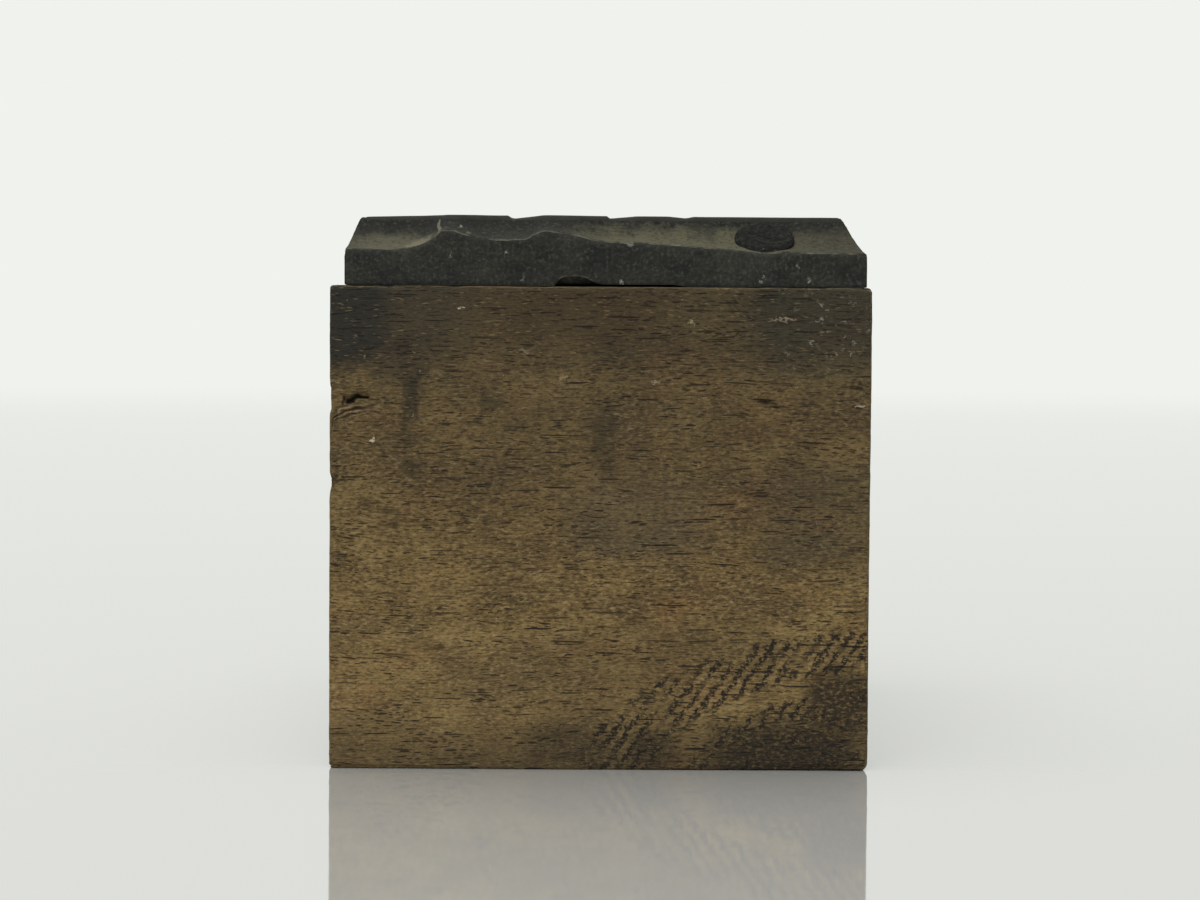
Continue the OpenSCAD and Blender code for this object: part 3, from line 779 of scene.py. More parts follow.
def shoulder(place):
    """Height of the pared and filed plate above its underside, or more where nothing is cut."""
    x, y = place[:, 0] - plate_lo[0], place[:, 1] - plate_lo[1]
    front = cove(x - SCOOP_LEAN * y, y, FRONT_SCOOPS, LONG_COVE)
    back = cove(plate_w - x, plate_d - y, BACK_SCOOPS, LONG_COVE)
    right = soft_lowest(cove(y, plate_w - x, RIGHT_SCOOPS, SIDE_COVE), PLATE_T + 0.03, SIDE_SOFT)
    left = soft_lowest(FILE_FROM + FILE_SLOPE * x, PLATE_T + 0.01, FILE_SOFT)
    return np.minimum.reduce([front, back, np.maximum(right, SIDE_LEDGE), np.maximum(left, FILE_LEDGE)])


# %% [markdown]
# The nails hold the plate through its shoulders. Their places and tilts follow from the same
# rule: a head lies along the cut, and the soft metal under it is pressed flat.

# %% Nail seats
NAIL_IN, SINK = 1.22, 0.12
FRONT_NAIL_AT, BACK_NAIL_AT = 17.6, 17.24
PRESSED_UP, PRESSED_R, PRESSED_OUT = 0.17, 1.27, 1.75


def nail_seat(at, scoops):
    """Tilt of a nail and the height of its seat, at a distance along the edge."""
    out, up, crest = LONG_COVE
    radius = math.hypot(out, PLATE_T + up - lip_line(np.array([at]), scoops, crest)[0])
    tilt = math.asin((NAIL_IN + out) / radius)
    return tilt, PLATE_T + up - radius * math.cos(tilt)


front_tilt, front_seat = nail_seat(FRONT_NAIL_AT, FRONT_SCOOPS)
back_tilt, back_seat = nail_seat(BACK_NAIL_AT, BACK_SCOOPS)
NAILS = {
    # X, Y, tilt about X, height of the seat above the plate's underside
    "nail_front": (plate_lo[0] + FRONT_NAIL_AT, plate_lo[1] + NAIL_IN, front_tilt, front_seat),
    "nail_back": (plate_hi[0] - BACK_NAIL_AT, plate_hi[1] - NAIL_IN, -back_tilt, back_seat),
}
print({name: [round(float(v), 3) for v in seat] for name, seat in NAILS.items()})


def dressed(place):
    """Height of the shoulder with the marks of the tool and of the nails."""
    flat = np.column_stack([place[:, 0], place[:, 1], np.zeros(len(place))])
    height = shoulder(place)
    marks = 0.02 * bumps(flat, (0.9, 0.35, 1.0), 11) + 0.014 * bumps(flat, (0.25, 0.2, 1.0), 12)
    marks += 0.02 * bumps(flat, (2.6, 1.2, 1.0), 13)
    height = height + marks * step_up(height, PLATE_T, PLATE_T - 0.5)
    under_shell = step_up(height, PLATE_T - SHELL_T, PLATE_T - SHELL_T - 0.3)
    for nail_x, nail_y, tilt, seat in NAILS.values():
        away = np.hypot(place[:, 0] - nail_x, (place[:, 1] - nail_y) / math.cos(tilt))
        level = seat + math.tan(tilt) * (place[:, 1] - nail_y) + PRESSED_UP
        pressed = np.minimum(height, level)
        height = height + (pressed - height) * step_up(away, PRESSED_OUT, PRESSED_R) * under_shell
    return height


# %% [markdown]
# ## The cast backing
#
# The backing is one skin lofted round the plate. Each ray starts on the border's inner edge
# and ends on the plate's outer edge, and on it lie the points of one section: under the
# plate, up the wall, over the lip and up the shoulder to the shell. Rays find the shell's
# line by halving the distance until the shoulder has the right height, so the line between
# the two metals is as crisp as on the real one.


# %% Rays and lofts
def rays(outer_half, inner_half, radius, steps):
    """Places on a rectangle's outline, the ways in, and their lengths to a rounded outline inside."""
    corners = [(-1, -1), (1, -1), (1, 1), (-1, 1)]
    outer = []
    for (ax, ay), (bx, by), step in zip(corners, corners[1:] + corners[:1], steps):
        start, stop = np.array([ax, ay]) * outer_half, np.array([bx, by]) * outer_half
        count = int(np.linalg.norm(stop - start) / step)
        outer.append(start + (stop - start) * np.arange(count)[:, None] / count)
    outer = np.concatenate(outer)
    middle = np.clip(outer, radius - np.array(inner_half), np.array(inner_half) - radius)
    length = np.linalg.norm(middle - outer, axis=1)
    return outer + plate_mid, (middle - outer) / length[:, None], length - radius


def loft(rings, closed=False):
    """Quads between rings of points. The first and last ring are joined, or each is closed with a face."""
    index = np.arange(rings.shape[0] * rings.shape[1]).reshape(rings.shape[:2])
    caps = [] if closed else [index[0][::-1].tolist(), index[-1].tolist()]
    if closed:
        index = np.vstack([index, index[:1]])
    low, high = index[:-1], index[1:]
    faces = np.stack([low, np.roll(low, -1, 1), np.roll(high, -1, 1), high], -1).reshape(-1, 4)
    return rings.reshape(-1, 3), faces.tolist() + caps


def raise_to(place, height):
    """Points from places in the plate's plane and heights above its underside."""
    return np.column_stack([place, np.broadcast_to(height, len(place)) + BLOCK_H])


HALVINGS = 34


def find_height(start, way, reach, target):
    """How far in each ray meets a height of the shoulder."""
    low, high = np.zeros(len(start)), reach.copy()
    for _ in range(HALVINGS):
        middle = (low + high) / 2
        below = shoulder(start + way * middle[:, None]) < target
        low, high = np.where(below, middle, low), np.where(below, high, middle)
    return (low + high) / 2


# %% [markdown]
# The rays stand closer along the front, which is seen from near by.

# %% Rays of the plate
BORDER_HALF = np.array([plate_w / 2 - 2.0, plate_d / 2 - 3.1])
BORDER_R = 0.8
RAY_STEPS = (0.075, 0.12, 0.12, 0.12)  # front, right, back, left
edge, inwards, reach = rays((plate_w / 2, plate_d / 2), BORDER_HALF, BORDER_R, RAY_STEPS)
shell_foot = find_height(edge, inwards, reach, PLATE_T - SHELL_T)
shell_rim = find_height(edge, inwards, reach, PLATE_T - 0.004)
print(len(edge), "rays; the rim lies", shell_rim.min().round(2), "to", shell_rim.max().round(2), "mm in")

# %% [markdown]
# Under the front edge a knock left a hollow, steep on its left and drawn out to the right,
# and the plate stands off the wood a little there.

# %% Backing: section points
HOLLOW = {"from": -1.9, "peak": -1.2, "to": 0.15, "height": 0.41, "depth": 0.34}
GAP_FROM, GAP_TO, GAP_H = -2.0, 3.7, 0.07


def hollow(place):
    """Height of the underside above the wood, near the front edge."""
    x, inset = place[:, 0], place[:, 1] - plate_lo[1]
    rise = np.clip((x - HOLLOW["from"]) / (HOLLOW["peak"] - HOLLOW["from"]), 0, 1)
    fall = step_up(x, HOLLOW["to"], HOLLOW["peak"] + 0.2)
    dome = np.sqrt(1 - (1 - rise) ** 2) * fall
    deep = 1 - np.clip(inset / HOLLOW["depth"], 0, 1) ** 1.4
    gap = GAP_H * step_up(x, GAP_FROM, GAP_FROM + 0.3) * step_up(x, GAP_TO, GAP_TO - 0.8)
    return (HOLLOW["height"] - GAP_H) * dome * deep + gap * step_up(inset, 3.0, 1.0)


# %% [markdown]
# Each loop below adds the rings of one part of the section. Every ring also says how much of
# it is a lip, which gets a painted highlight, and how much is a cut surface. The first rings
# are the underside.

# %% Backing: underside
backing_rings, lip_marks, cut_marks = [], [], []


def add_ring(place, height, lip=0.0, cut=0.0):
    """One more ring of the backing, with its painted lip highlight and how much it is a cut surface."""
    backing_rings.append(raise_to(place, height))
    lip_marks.append(np.broadcast_to(lip, len(place)))
    cut_marks.append(np.broadcast_to(cut, len(place)))


for inset in (1.0, 0.7, 0.5, 0.36, 0.26, 0.18, 0.14, 0.12, 0.1, 0.075, 0.05, 0.025, 0.008):
    place = edge + inwards * (reach * inset)[:, None]
    # The hollow's rim gets a painted highlight.
    add_ring(place, hollow(place), lip=0.7 * step_up(hollow(place), GAP_H, GAP_H + 0.05))

# %% [markdown]
# The wall climbs from there to just under the lip. It was planed and then handled, so it isn't
# quite flat, and its first and last rings are close together, because its edges are round.

# %% Backing: wall
lip_h = dressed(edge)
lip_r = 0.035 + 0.015 * bumps(raise_to(edge, 0.0), 0.8, 21)
foot_h = hollow(edge)
in_hollow = step_up(foot_h, GAP_H, GAP_H + 0.1)
for share in np.concatenate([[0.0, 0.02], np.linspace(0.05, 0.97, 16), [1.0]]):
    height = foot_h + (lip_h - lip_r - foot_h) * share
    at = raise_to(edge, height)
    sunk = 0.018 + 0.016 * bumps(at, (3.0, 3.0, 1.2), 22) + 0.008 * bumps(at, (0.5, 0.5, 0.4), 23)
    sunk += 0.03 * bell(share, 0.0, 0.02) + 0.035 * bell(share, 1.0, 0.035)
    # A painted highlight along the top of the wall and along the hollow's rim.
    lip = bell(share, 1.0, 0.02) + 0.9 * in_hollow * bell(share, 0.02, 0.05)
    add_ring(edge + inwards * np.maximum(sunk, 0)[:, None], height, lip=lip)

# %% [markdown]
# The lip turns over in three steps, and the shoulder follows. The ridge between the first two
# scoops gets a painted highlight like a lip. The top lies a little under the shell, and its
# last ring goes down inside the border.

# %% Backing: lip, shoulder and top
LIP_INSET = 0.04
for turn in (0.35, 0.7, 1.0):
    place = edge + inwards * (LIP_INSET + lip_r * turn)[:, None]
    drop = lip_r * (1 - math.sin(turn * math.pi / 2))
    add_ring(place, dressed(place) - drop, lip=1.0 - 0.4 * turn, cut=turn)
shoulder_from = LIP_INSET + lip_r
for share in (1 - np.cos(np.linspace(0, math.pi, 29)[1:])) / 2:
    place = edge + inwards * (shoulder_from + (shell_foot - shoulder_from) * share)[:, None]
    inset = place[:, 1] - plate_lo[1]
    bend = RIDGE_AT + 0.1 * np.sin(inset * 3.3)
    ridge = bell(place[:, 0] - plate_lo[0] - SCOOP_LEAN * inset, bend, 0.08) * step_up(inset, 3.0, 2.8)
    lip = 0.8 * bell(share, 0.0, 0.02) + 1.5 * ridge
    add_ring(place, dressed(place), lip=lip, cut=1.0)
SEAM = 0.02  # the backing's top lies this much under the shell
for share, drop in ((0.015, 0.0), (0.4, 0.0), (0.97, 0.0), (1.0, COUNTER)):
    place = edge + inwards * (shell_foot + (reach + SHELL_T - shell_foot) * share)[:, None]
    add_ring(place, np.minimum(PLATE_T - SHELL_T - drop - SEAM, dressed(place) - SEAM))
print(len(backing_rings), "rings of", len(edge), "points")

# %% [markdown]
# ### Cast lead alloy
#
# The backing is a lead alloy, poured on the back of the shell and then cut. Fresh cuts are
# bright, and a century of ink and air turns them nearly black, with a soft satin sheen. Grey
# khaki oxide shows where the gouge pared the shoulders. The lips are paler, partly rubbed by
# hands and partly a painted highlight where a rounded edge catches the light, and the walls
# carry faint upright marks from the plane. Two marks in the mesh, one for the lips and one for
# the cut surfaces, say which is which.

# %% Lead alloy
lead, tree, lead_shader, place = start_material("cast_lead_alloy_darkened")
LEAD_LAYERS = {
    "clouds": ((2.2, 2.2, 1.4), 5.0),
    "mottle": ((0.6, 0.6, 0.5), 6.0),
    "upright": ((0.16, 0.16, 1.4), 3.0),
    "strokes": ((0.9, 0.16, 0.9), 3.0),
    "grit": ((0.15, 0.15, 0.15), 4.0),
}
lead_noise = {layer: ripples(tree, place, size, detail, 0.65)
              for layer, (size, detail) in LEAD_LAYERS.items()}
cut = add(tree, "ShaderNodeAttribute", out="Fac", attribute_name="cut")
lip = add(tree, "ShaderNodeAttribute", out="Fac", attribute_name="lip")
grey = tint(tree, "#131410", lead_noise["clouds"], 0.36, 0.64, 1.0, "#27271f")
grey = tint(tree, grey, lead_noise["upright"], 0.5, 0.7, 0.28, "#3a3a33")

# The pared surfaces: dull grey, with khaki oxide in places
pared = tint(tree, "#0e0f0c", lead_noise["mottle"], 0.38, 0.62, 1.0, "#23231e")
pared = tint(tree, pared, lead_noise["strokes"], 0.5, 0.75, 0.35, "#2e2e27")
grey = add(tree, "ShaderNodeMix", {0: cut, 6: grey, 7: pared}, out=2, data_type="RGBA")
OXIDE = [
    # middle, half sizes, softness, strength, colour
    ((-8.8, -14.6, 21.9), (1.5, 1.0, 0.5), 0.8, 0.85, "#4f4d3c"),
    ((-7.6, -14.7, 22.1), (0.35, 0.4, 0.3), 0.9, 0.55, "#746f5a"),
    ((-4.4, -14.6, 22.4), (1.6, 0.9, 0.4), 0.8, 0.1, "#34342e"),
    ((3.6, -14.0, 22.0), (4.2, 1.6, 0.85), 0.4, 0.85, "#4d4a37"),
    ((9.6, -14.3, 21.9), (2.3, 1.2, 0.7), 0.8, 0.55, "#474434"),
    ((4.3, -13.7, 22.7), (0.7, 0.9, 0.4), 0.4, 0.6, "#1c1d18"),
    ((10.6, 0.0, 22.4), (0.9, 16.0, 0.6), 0.6, 0.5, "#343226"),
    ((-3.0, 13.6, 22.4), (5.0, 1.3, 0.7), 0.7, 0.6, "#383629"),
]
lead_frayed = fray(tree, place, 1.0, 1.8)
lead_chipped = fray(tree, place, 0.14, 0.5)
for *where, colour in OXIDE:
    share = blot(tree, lead_frayed, *where)
    share = add(tree, "ShaderNodeMath", {0: share, 1: cut}, operation="MULTIPLY")
    grey = add(tree, "ShaderNodeMix", {0: share, 6: grey, 7: colour}, out=2, data_type="RGBA")
print("oxide patches:", len(OXIDE))

# %% [markdown]
# Near the rim the shoulder is darker, partly old ink and partly painted shade, and ink stayed in
# the grit. Lips are paler, partly rubbed and partly a painted highlight, and so are grains of
# dust and a few scratches.

# %% Lead alloy: ink and painted shade near the rim, lip highlights and scratches
# Darker near the rim: partly old ink, partly painted shade where the steep shoulder gets less light.
RIM_DARK_FROM, RIM_DARK_TO = TYPE_H - 0.95, TYPE_H - 0.1
tall = add(tree, "ShaderNodeSeparateXYZ", {0: lead_frayed}, out="Z")
near_rim = add(tree, "ShaderNodeMapRange", {"Value": tall, "From Min": RIM_DARK_FROM, "From Max": RIM_DARK_TO})
spots = grains(tree, lead_chipped, (0.34, 0.34, 0.3), -0.1, 0.5)
ink_and_shade = add(tree, "ShaderNodeMath", {0: near_rim, 1: spots}, operation="MULTIPLY")
ink_and_shade = add(tree, "ShaderNodeMath", {0: near_rim, 1: 0.6, 2: ink_and_shade}, operation="MULTIPLY_ADD", use_clamp=True)
ink_and_shade = add(tree, "ShaderNodeMath", {0: ink_and_shade, 1: cut}, operation="MULTIPLY")
grey = add(tree, "ShaderNodeMix", {0: ink_and_shade, 6: grey, 7: "#10110e"}, out=2, data_type="RGBA")
grey = tint(tree, grey, lead_noise["grit"], 0.52, 0.64, 0.6, "#0d0e0c")
grey = tint(tree, grey, lead_noise["grit"], 0.46, 0.34, 0.4, "#4b4a40")
# Painted highlight on the lips, over real rubbing.
rub = add(tree, "ShaderNodeMath", {0: lip, 1: lead_noise["mottle"]}, operation="MULTIPLY")
grey = tint(tree, grey, rub, 0.36, 0.6, 0.75, "#6a6858")
lead_dust = grains(tree, lead_chipped, (0.5, 0.5, 0.45), -0.35, 0.15)
grey = add(tree, "ShaderNodeMix", {0: lead_dust, 6: grey, 7: "#6f6e63"}, out=2, data_type="RGBA")
SCRATCHES = [
    # middle, half sizes, strength
    ((-3.95, -14.9, 21.73), (0.06, 0.3, 0.045), 0.7), ((-6.3, -14.9, 21.6), (0.03, 0.3, 0.12), 0.3),
    ((0.83, -14.9, 20.48), (0.06, 0.3, 0.06), 0.8), ((6.75, -14.9, 20.75), (0.04, 0.3, 0.05), 0.6),
    ((6.68, -14.9, 20.5), (0.03, 0.3, 0.06), 0.5), ((8.7, -14.9, 20.62), (0.03, 0.3, 0.08), 0.5),
    ((-5.9, -13.9, 22.8), (0.05, 0.4, 0.06), 0.55), ((-5.6, -14.2, 22.5), (0.07, 0.4, 0.04), 0.35),
    ((-3.3, -14.9, 20.6), (0.04, 0.3, 0.07), 0.35), ((8.2, -14.9, 21.2), (0.05, 0.3, 0.05), 0.35),
    ((1.2, -14.9, 22.05), (0.1, 0.6, 0.04), 0.45), ((9.3, -14.4, 22.3), (0.05, 0.6, 0.05), 0.6),
]
SCRATCH_SOFT, SCRATCH = 0.6, "#8e8e80"
grey = stain(tree, lead_chipped, grey, [(*where, SCRATCH_SOFT, strength, SCRATCH)
                                        for *where, strength in SCRATCHES])
print("scratches:", len(SCRATCHES))

# %% [markdown]
# The height map is in millimetres: a cast skin that rises and falls by a tenth, grit, and the
# plane's faint marks. The cut surfaces are duller than the cast ones.

# %% Lead alloy: relief and gloss
height = weigh(tree, (lead_noise["mottle"], 0.1), (lead_noise["grit"], 0.025),
               (lead_noise["upright"], 0.012), (lead_dust, 0.02))
normal = add(tree, "ShaderNodeBump", {"Height": height, "Distance": MM, "Strength": 0.8})
gloss = add(tree, "ShaderNodeMapRange", {"Value": lead_noise["mottle"], "From Min": 0.3, "From Max": 0.7,
                                         "To Min": 0.5, "To Max": 0.7})
gloss = add(tree, "ShaderNodeMath", {0: cut, 1: 0.25, 2: gloss}, operation="MULTIPLY_ADD")
fill(tree, lead_shader, {"Base Color": grey, "Roughness": gloss, "Normal": normal, "Metallic": 0.15,
                         "Specular IOR Level": 0.2})
print("lead material:", len(tree.nodes), "nodes")

backing = make_piece("backing", *loft(np.array(backing_rings)), lead,
                     lip=np.concatenate(lip_marks), cut=np.concatenate(cut_marks))
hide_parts("backing_metal")
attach(backing, "root")

# %% [markdown]
# ## The copper shell
#
# The printing face is a skin of copper, 0.22 mm thick, grown in a bath on a mould of the
# design. Everything that prints stands at one height, and the ground between lies 0.75 mm
# lower. Knocks have dented its front edge in four places. The dents run out backwards as
# slowly as the camera's line of sight climbs, so they show in full from the front.

# %% Shell: dents and wear
RIM_DENTS = [
    # left end, place of the deepest point, right end, depth
    (-11.6, -11.2, -6.3, 0.13), (-3.98, -3.78, -2.5, 0.15), (0.22, 0.36, 1.6, 0.12), (2.7, 3.62, 3.98, 0.09),
]
DENT_FRONT, DENT_SLOPE = plate_lo[1] + 1.9, 0.034


def dent(place):
    """How far the face is knocked down near the front."""
    x, y = place[:, 0], place[:, 1]
    total = np.zeros(len(place))
    for start, deepest, stop, depth in RIM_DENTS:
        rise, fall = (x - start) / (deepest - start), (stop - x) / (stop - deepest)
        total += depth * np.clip(np.minimum(rise, fall), 0, 1)
    return np.clip(total - DENT_SLOPE * np.maximum(y - DENT_FRONT, 0), 0, None)


WORN_H, WORN_W = 0.05, 0.07


def face_height(place, edge_distance):
    """Height of the printing face: flat, worn round within a tenth of a millimetre of its edges."""
    flat = np.column_stack([place, np.zeros(len(place))])
    worn = WORN_H * np.exp(-edge_distance / WORN_W) + 0.006 * (1 + bumps(flat, 0.8, 31))
    return PLATE_T - worn - dent(place)


# %% [markdown]
# The border is lofted on the same rays as the backing, so its edge lies exactly in the
# shoulder's surface. The rings go up the shoulder, over the printing face, down to the ground
# and back underneath.

# %% Shell: border
shell_rings = []
for share in (0.0, 0.05, 0.35, 0.7):
    place = edge + inwards * (shell_foot + (shell_rim - shell_foot) * share)[:, None]
    shell_rings.append(raise_to(place, np.minimum(dressed(place), PLATE_T - WORN_H) - share * dent(place)))
top_width = reach - shell_rim
for share in (0.0, 0.025, 0.06, 0.12, 0.2, 0.3, 0.42, 0.55, 0.68, 0.8, 0.9, 0.95, 0.985, 1.0):
    place = edge + inwards * (shell_rim + top_width * share)[:, None]
    shell_rings.append(raise_to(place, face_height(place, np.minimum(share, 1 - share) * top_width)))
for share, lean in ((0.15, 0.0), (0.4, 0.01), (0.7, 0.03), (1.0, 0.07)):
    place = edge + inwards * (reach + lean)[:, None]
    drop = WORN_H + (COUNTER - WORN_H) * share
    shell_rings.append(raise_to(place, PLATE_T - dent(place) * (1 - share) - drop))
place = edge + inwards * (reach + 0.15)[:, None]
shell_rings.append(raise_to(place, PLATE_T - COUNTER - SHELL_T / 2))
place = edge + inwards * (reach - 0.1)[:, None]
shell_rings.append(raise_to(place, PLATE_T - COUNTER - SHELL_T / 2))
for place in (edge + inwards * (reach - 0.15)[:, None], edge + inwards * (shell_foot + 0.03)[:, None]):
    shell_rings.append(raise_to(place, PLATE_T - SHELL_T - 0.01))
shell_parts = [loft(np.array(shell_rings), closed=True)]
print("border:", len(shell_rings), "rings")

# %% [markdown]
# The fine rule inside the border and the ring round the rosette are bands of one section,
# bent round a rounded rectangle and round a circle, which is a rounded rectangle whose
# corners meet. The ground is a thin slab with the slight swell of a mould cut by hand.


# %% Shell: rule, ring and ground
def raised_band(outer_half, radius, width, step):
    """A raised band with worn edges, whose outside is a rounded rectangle."""
    half = np.array(outer_half)
    start, way, to_outline = rays(half, half, radius, (step,) * 4)
    outline = start + way * to_outline[:, None]
    # Each point of the section: its distance in from the outline, and its height from the face
    section = [(-0.08, -COUNTER - 0.05), (-0.03, -0.4), (0.0, -0.07), (0.02, -0.03), (0.07, -0.005),
               (width / 2, 0.0), (width - 0.07, -0.005), (width - 0.02, -0.03), (width, -0.07),
               (width + 0.03, -0.4), (width + 0.08, -COUNTER - 0.05)]
    rings = []
    for across, down in section:
        place = outline + way * across
        swell = 0.008 * (1 + bumps(raise_to(place, 0.0), 0.7, 33)) * (down > -0.1)
        rings.append(raise_to(place, PLATE_T + down - swell - dent(place) * (down > -0.1)))
    return loft(np.array(rings), closed=True)


RULE_GAP, RULE_W, RING_R, RING_W = 0.4, 0.3, 6.3, 0.46
shell_parts.append(raised_band(BORDER_HALF - RULE_GAP, BORDER_R - RULE_GAP, RULE_W, 0.16))
shell_parts.append(raised_band((RING_R + RING_W,) * 2, RING_R + RING_W, RING_W, 0.3))
ground_half = np.append(BORDER_HALF + 0.12, 0)
centre = np.append(plate_mid, BLOCK_H + PLATE_T - COUNTER)
ground_lo, ground_hi = centre - ground_half - [0, 0, SHELL_T - 0.01], centre + ground_half
GROUND_LINES = (100, 130, 2)
points, faces = box_grid([np.linspace(*line) for line in zip(ground_lo, ground_hi, GROUND_LINES)])
swell = 0.02 * bumps(points, (2.2, 2.2, 9.0), 34) + 0.01 * bumps(points, (0.5, 0.5, 9.0), 35)
points[:, 2] += (swell - 0.03) * (points[:, 2] > ground_hi[2] - 0.01)
shell_parts.append((points, faces.tolist()))
print("ground:", len(points), "points")

# %% [markdown]
# ### The design
#
# A rosette of two rings of petals in a circle of beads, and sprays of leaves in the corners
# and above and below it. Every form is one shape, repeated round a middle, so one tree makes
# them all. It bends a flat drum into a petal: a point at angle t goes to half the length
# times cos t, and half the width times sin t, which for a leaf is multiplied once more by the
# size of sin t, and that brings both ends to a point. The first nodes find cos t and sin t.

# %% Ornament tree: round the drum
forms, given, result = start_tree("ring_of_forms", Count="Int", Start="Float", Step="Float", From="Float",
                                  Length="Float", Width="Float", Pointed="Float", Place="Vector",
                                  Turn="Float", Seed="Int", Material="Material")
DRUM_SIDES, EDGE_SHARE, FORM_DEPTH, EDGE_DROP = 28, 0.28, COUNTER + 0.05, 0.035
drum = add(forms, "GeometryNodeMeshCylinder", {"Vertices": DRUM_SIDES, "Side Segments": 3, "Fill Segments": 3,
                                               "Radius": 1.0, "Depth": 1.0}, fill_type="TRIANGLE_FAN")
spot = add(forms, "GeometryNodeInputPosition")
spot_x = add(forms, "ShaderNodeSeparateXYZ", {0: spot})
spot_y, spot_z = spot_x.node.outputs["Y"], spot_x.node.outputs["Z"]
flat_spot = add(forms, "ShaderNodeVectorMath", {0: spot, 1: (1.0, 1.0, 0.0)}, operation="MULTIPLY")
radius = add(forms, "ShaderNodeVectorMath", {0: flat_spot}, out="Value", operation="LENGTH")
radius = add(forms, "ShaderNodeMath", {0: radius, 1: 0.0001}, operation="MAXIMUM")
cos_t = add(forms, "ShaderNodeMath", {0: spot_x, 1: radius}, operation="DIVIDE")
sin_t = add(forms, "ShaderNodeMath", {0: spot_y, 1: radius}, operation="DIVIDE")
size_sin = add(forms, "ShaderNodeMath", {0: sin_t}, operation="ABSOLUTE")

# %% [markdown]
# The radius is raised to a small power, which pushes the drum's inner rings out to the edge,
# where the form is worn round. Its foot is a tenth wider than its top, because the walls of a
# mould lean.

# %% Ornament tree: a petal or a leaf
pushed = add(forms, "ShaderNodeMath", {0: radius, 1: EDGE_SHARE}, operation="POWER")
taper = add(forms, "ShaderNodeMapRange", {"Value": given["Pointed"], "To Min": 1.0, "To Max": size_sin})
half_l = add(forms, "ShaderNodeMath", {0: given["Length"], 1: 0.5}, operation="MULTIPLY")
half_w = add(forms, "ShaderNodeMath", {0: given["Width"], 1: 0.5}, operation="MULTIPLY")
middle_x = add(forms, "ShaderNodeMath", {0: given["From"], 1: half_l}, operation="ADD")
spread = add(forms, "ShaderNodeMapRange", {"Value": spot_z, "From Min": -0.5, "From Max": 0.5,
                                           "To Min": 1.1, "To Max": 1.0})
pushed = add(forms, "ShaderNodeMath", {0: pushed, 1: spread}, operation="MULTIPLY")
along = add(forms, "ShaderNodeMath", {0: cos_t, 1: pushed}, operation="MULTIPLY")
along = add(forms, "ShaderNodeMath", {0: along, 1: half_l, 2: middle_x}, operation="MULTIPLY_ADD")
across = add(forms, "ShaderNodeMath", {0: sin_t, 1: pushed}, operation="MULTIPLY")
across = add(forms, "ShaderNodeMath", {0: across, 1: half_w}, operation="MULTIPLY")
across = add(forms, "ShaderNodeMath", {0: across, 1: taper}, operation="MULTIPLY")
outer_edge = add(forms, "ShaderNodeMapRange", {"Value": radius, "From Min": 0.7, "From Max": 1.0,
                                               "To Max": EDGE_DROP})
tall = add(forms, "ShaderNodeMapRange", {"Value": spot_z, "From Min": -0.5, "From Max": 0.5,
                                         "To Min": -FORM_DEPTH, "To Max": 0.0})
tall = add(forms, "ShaderNodeMath", {0: tall, 1: outer_edge}, operation="SUBTRACT")
shaped_form = add(forms, "ShaderNodeCombineXYZ", {"X": along, "Y": across, "Z": tall})
drum = add(forms, "GeometryNodeSetPosition", {"Geometry": drum, "Position": shaped_form})

# %% [markdown]
# The form is repeated round the middle, each a hair off its place, as if cut by hand. Then the
# whole ring is turned and moved to its place.

# %% Ornament tree: the ring
number = add(forms, "GeometryNodeInputIndex")
turns = add(forms, "ShaderNodeMath", {0: number, 1: given["Step"], 2: given["Start"]},
            operation="MULTIPLY_ADD")
BY_HAND = 0.015  # how far, in radians, a form may be off its place in the ring
by_hand = add(forms, "FunctionNodeRandomValue", {2: -BY_HAND, 3: BY_HAND, "Seed": given["Seed"]}, out=1)
turns = add(forms, "ShaderNodeMath", {0: turns, 1: by_hand}, operation="ADD")
turns = add(forms, "ShaderNodeCombineXYZ", {"Z": turns})
cloud = add(forms, "GeometryNodePoints", {"Count": given["Count"]})
repeated = add(forms, "GeometryNodeInstanceOnPoints", {"Points": cloud, "Instance": drum,
                                                       "Rotation": turns})
whole = add(forms, "ShaderNodeCombineXYZ", {"Z": given["Turn"]})
repeated = add(forms, "GeometryNodeTransform", {"Geometry": repeated, "Translation": given["Place"],
                                                "Rotation": whole})
repeated = add(forms, "GeometryNodeRealizeInstances", {0: repeated})
repeated = add(forms, "GeometryNodeSetMaterial", {"Geometry": repeated, "Material": given["Material"]})
forms.links.new(repeated, result.inputs[0])
print("ornament tree:", len(forms.nodes), "nodes")

# %% [markdown]
# ### Ink-stained copper
#
# Ink dried black in the ground, along every wall and over the worn edges. The printing surface
# was wiped after each run, so old brown copper shows there, with thin scratches and a few green
# spots of verdigris. Less of the ink came off the outer part of the border. The mesh's mark
# `level` says how far each point lies from the printing face. It nearly leaves the dents out,
# because the cloth reached into them as well.

# %% Copper: bare or inky
copper, tree, copper_shader, place = start_material("electrotype_copper_ink_stained")
COPPER_LAYERS = {
    "clouds": ((2.6, 2.6, 2.6), 5.0),
    "film": ((0.7, 0.7, 0.7), 4.0),
    "grit": ((0.08, 0.08, 0.08), 2.0),
    "wiping": ((0.09, 2.2, 0.5), 2.0),
}
copper_noise = {layer: ripples(tree, place, size, detail, 0.6)
                for layer, (size, detail) in COPPER_LAYERS.items()}
INKY_BELOW, BARE_ABOVE = -0.032, -0.017
level = add(tree, "ShaderNodeAttribute", out="Fac", attribute_name="level")
raised = add(tree, "ShaderNodeMapRange", {"Value": level, "From Min": INKY_BELOW, "From Max": BARE_ABOVE})
bare = tint(tree, "#5d3a2a", copper_noise["clouds"], 0.35, 0.65, 1.0, "#8a5b41")
bare = tint(tree, bare, copper_noise["wiping"], 0.55, 0.75, 0.4, "#a9775a")
clean = add(tree, "ShaderNodeMapRange", {"Value": copper_noise["film"], "From Min": 0.38, "From Max": 0.56})
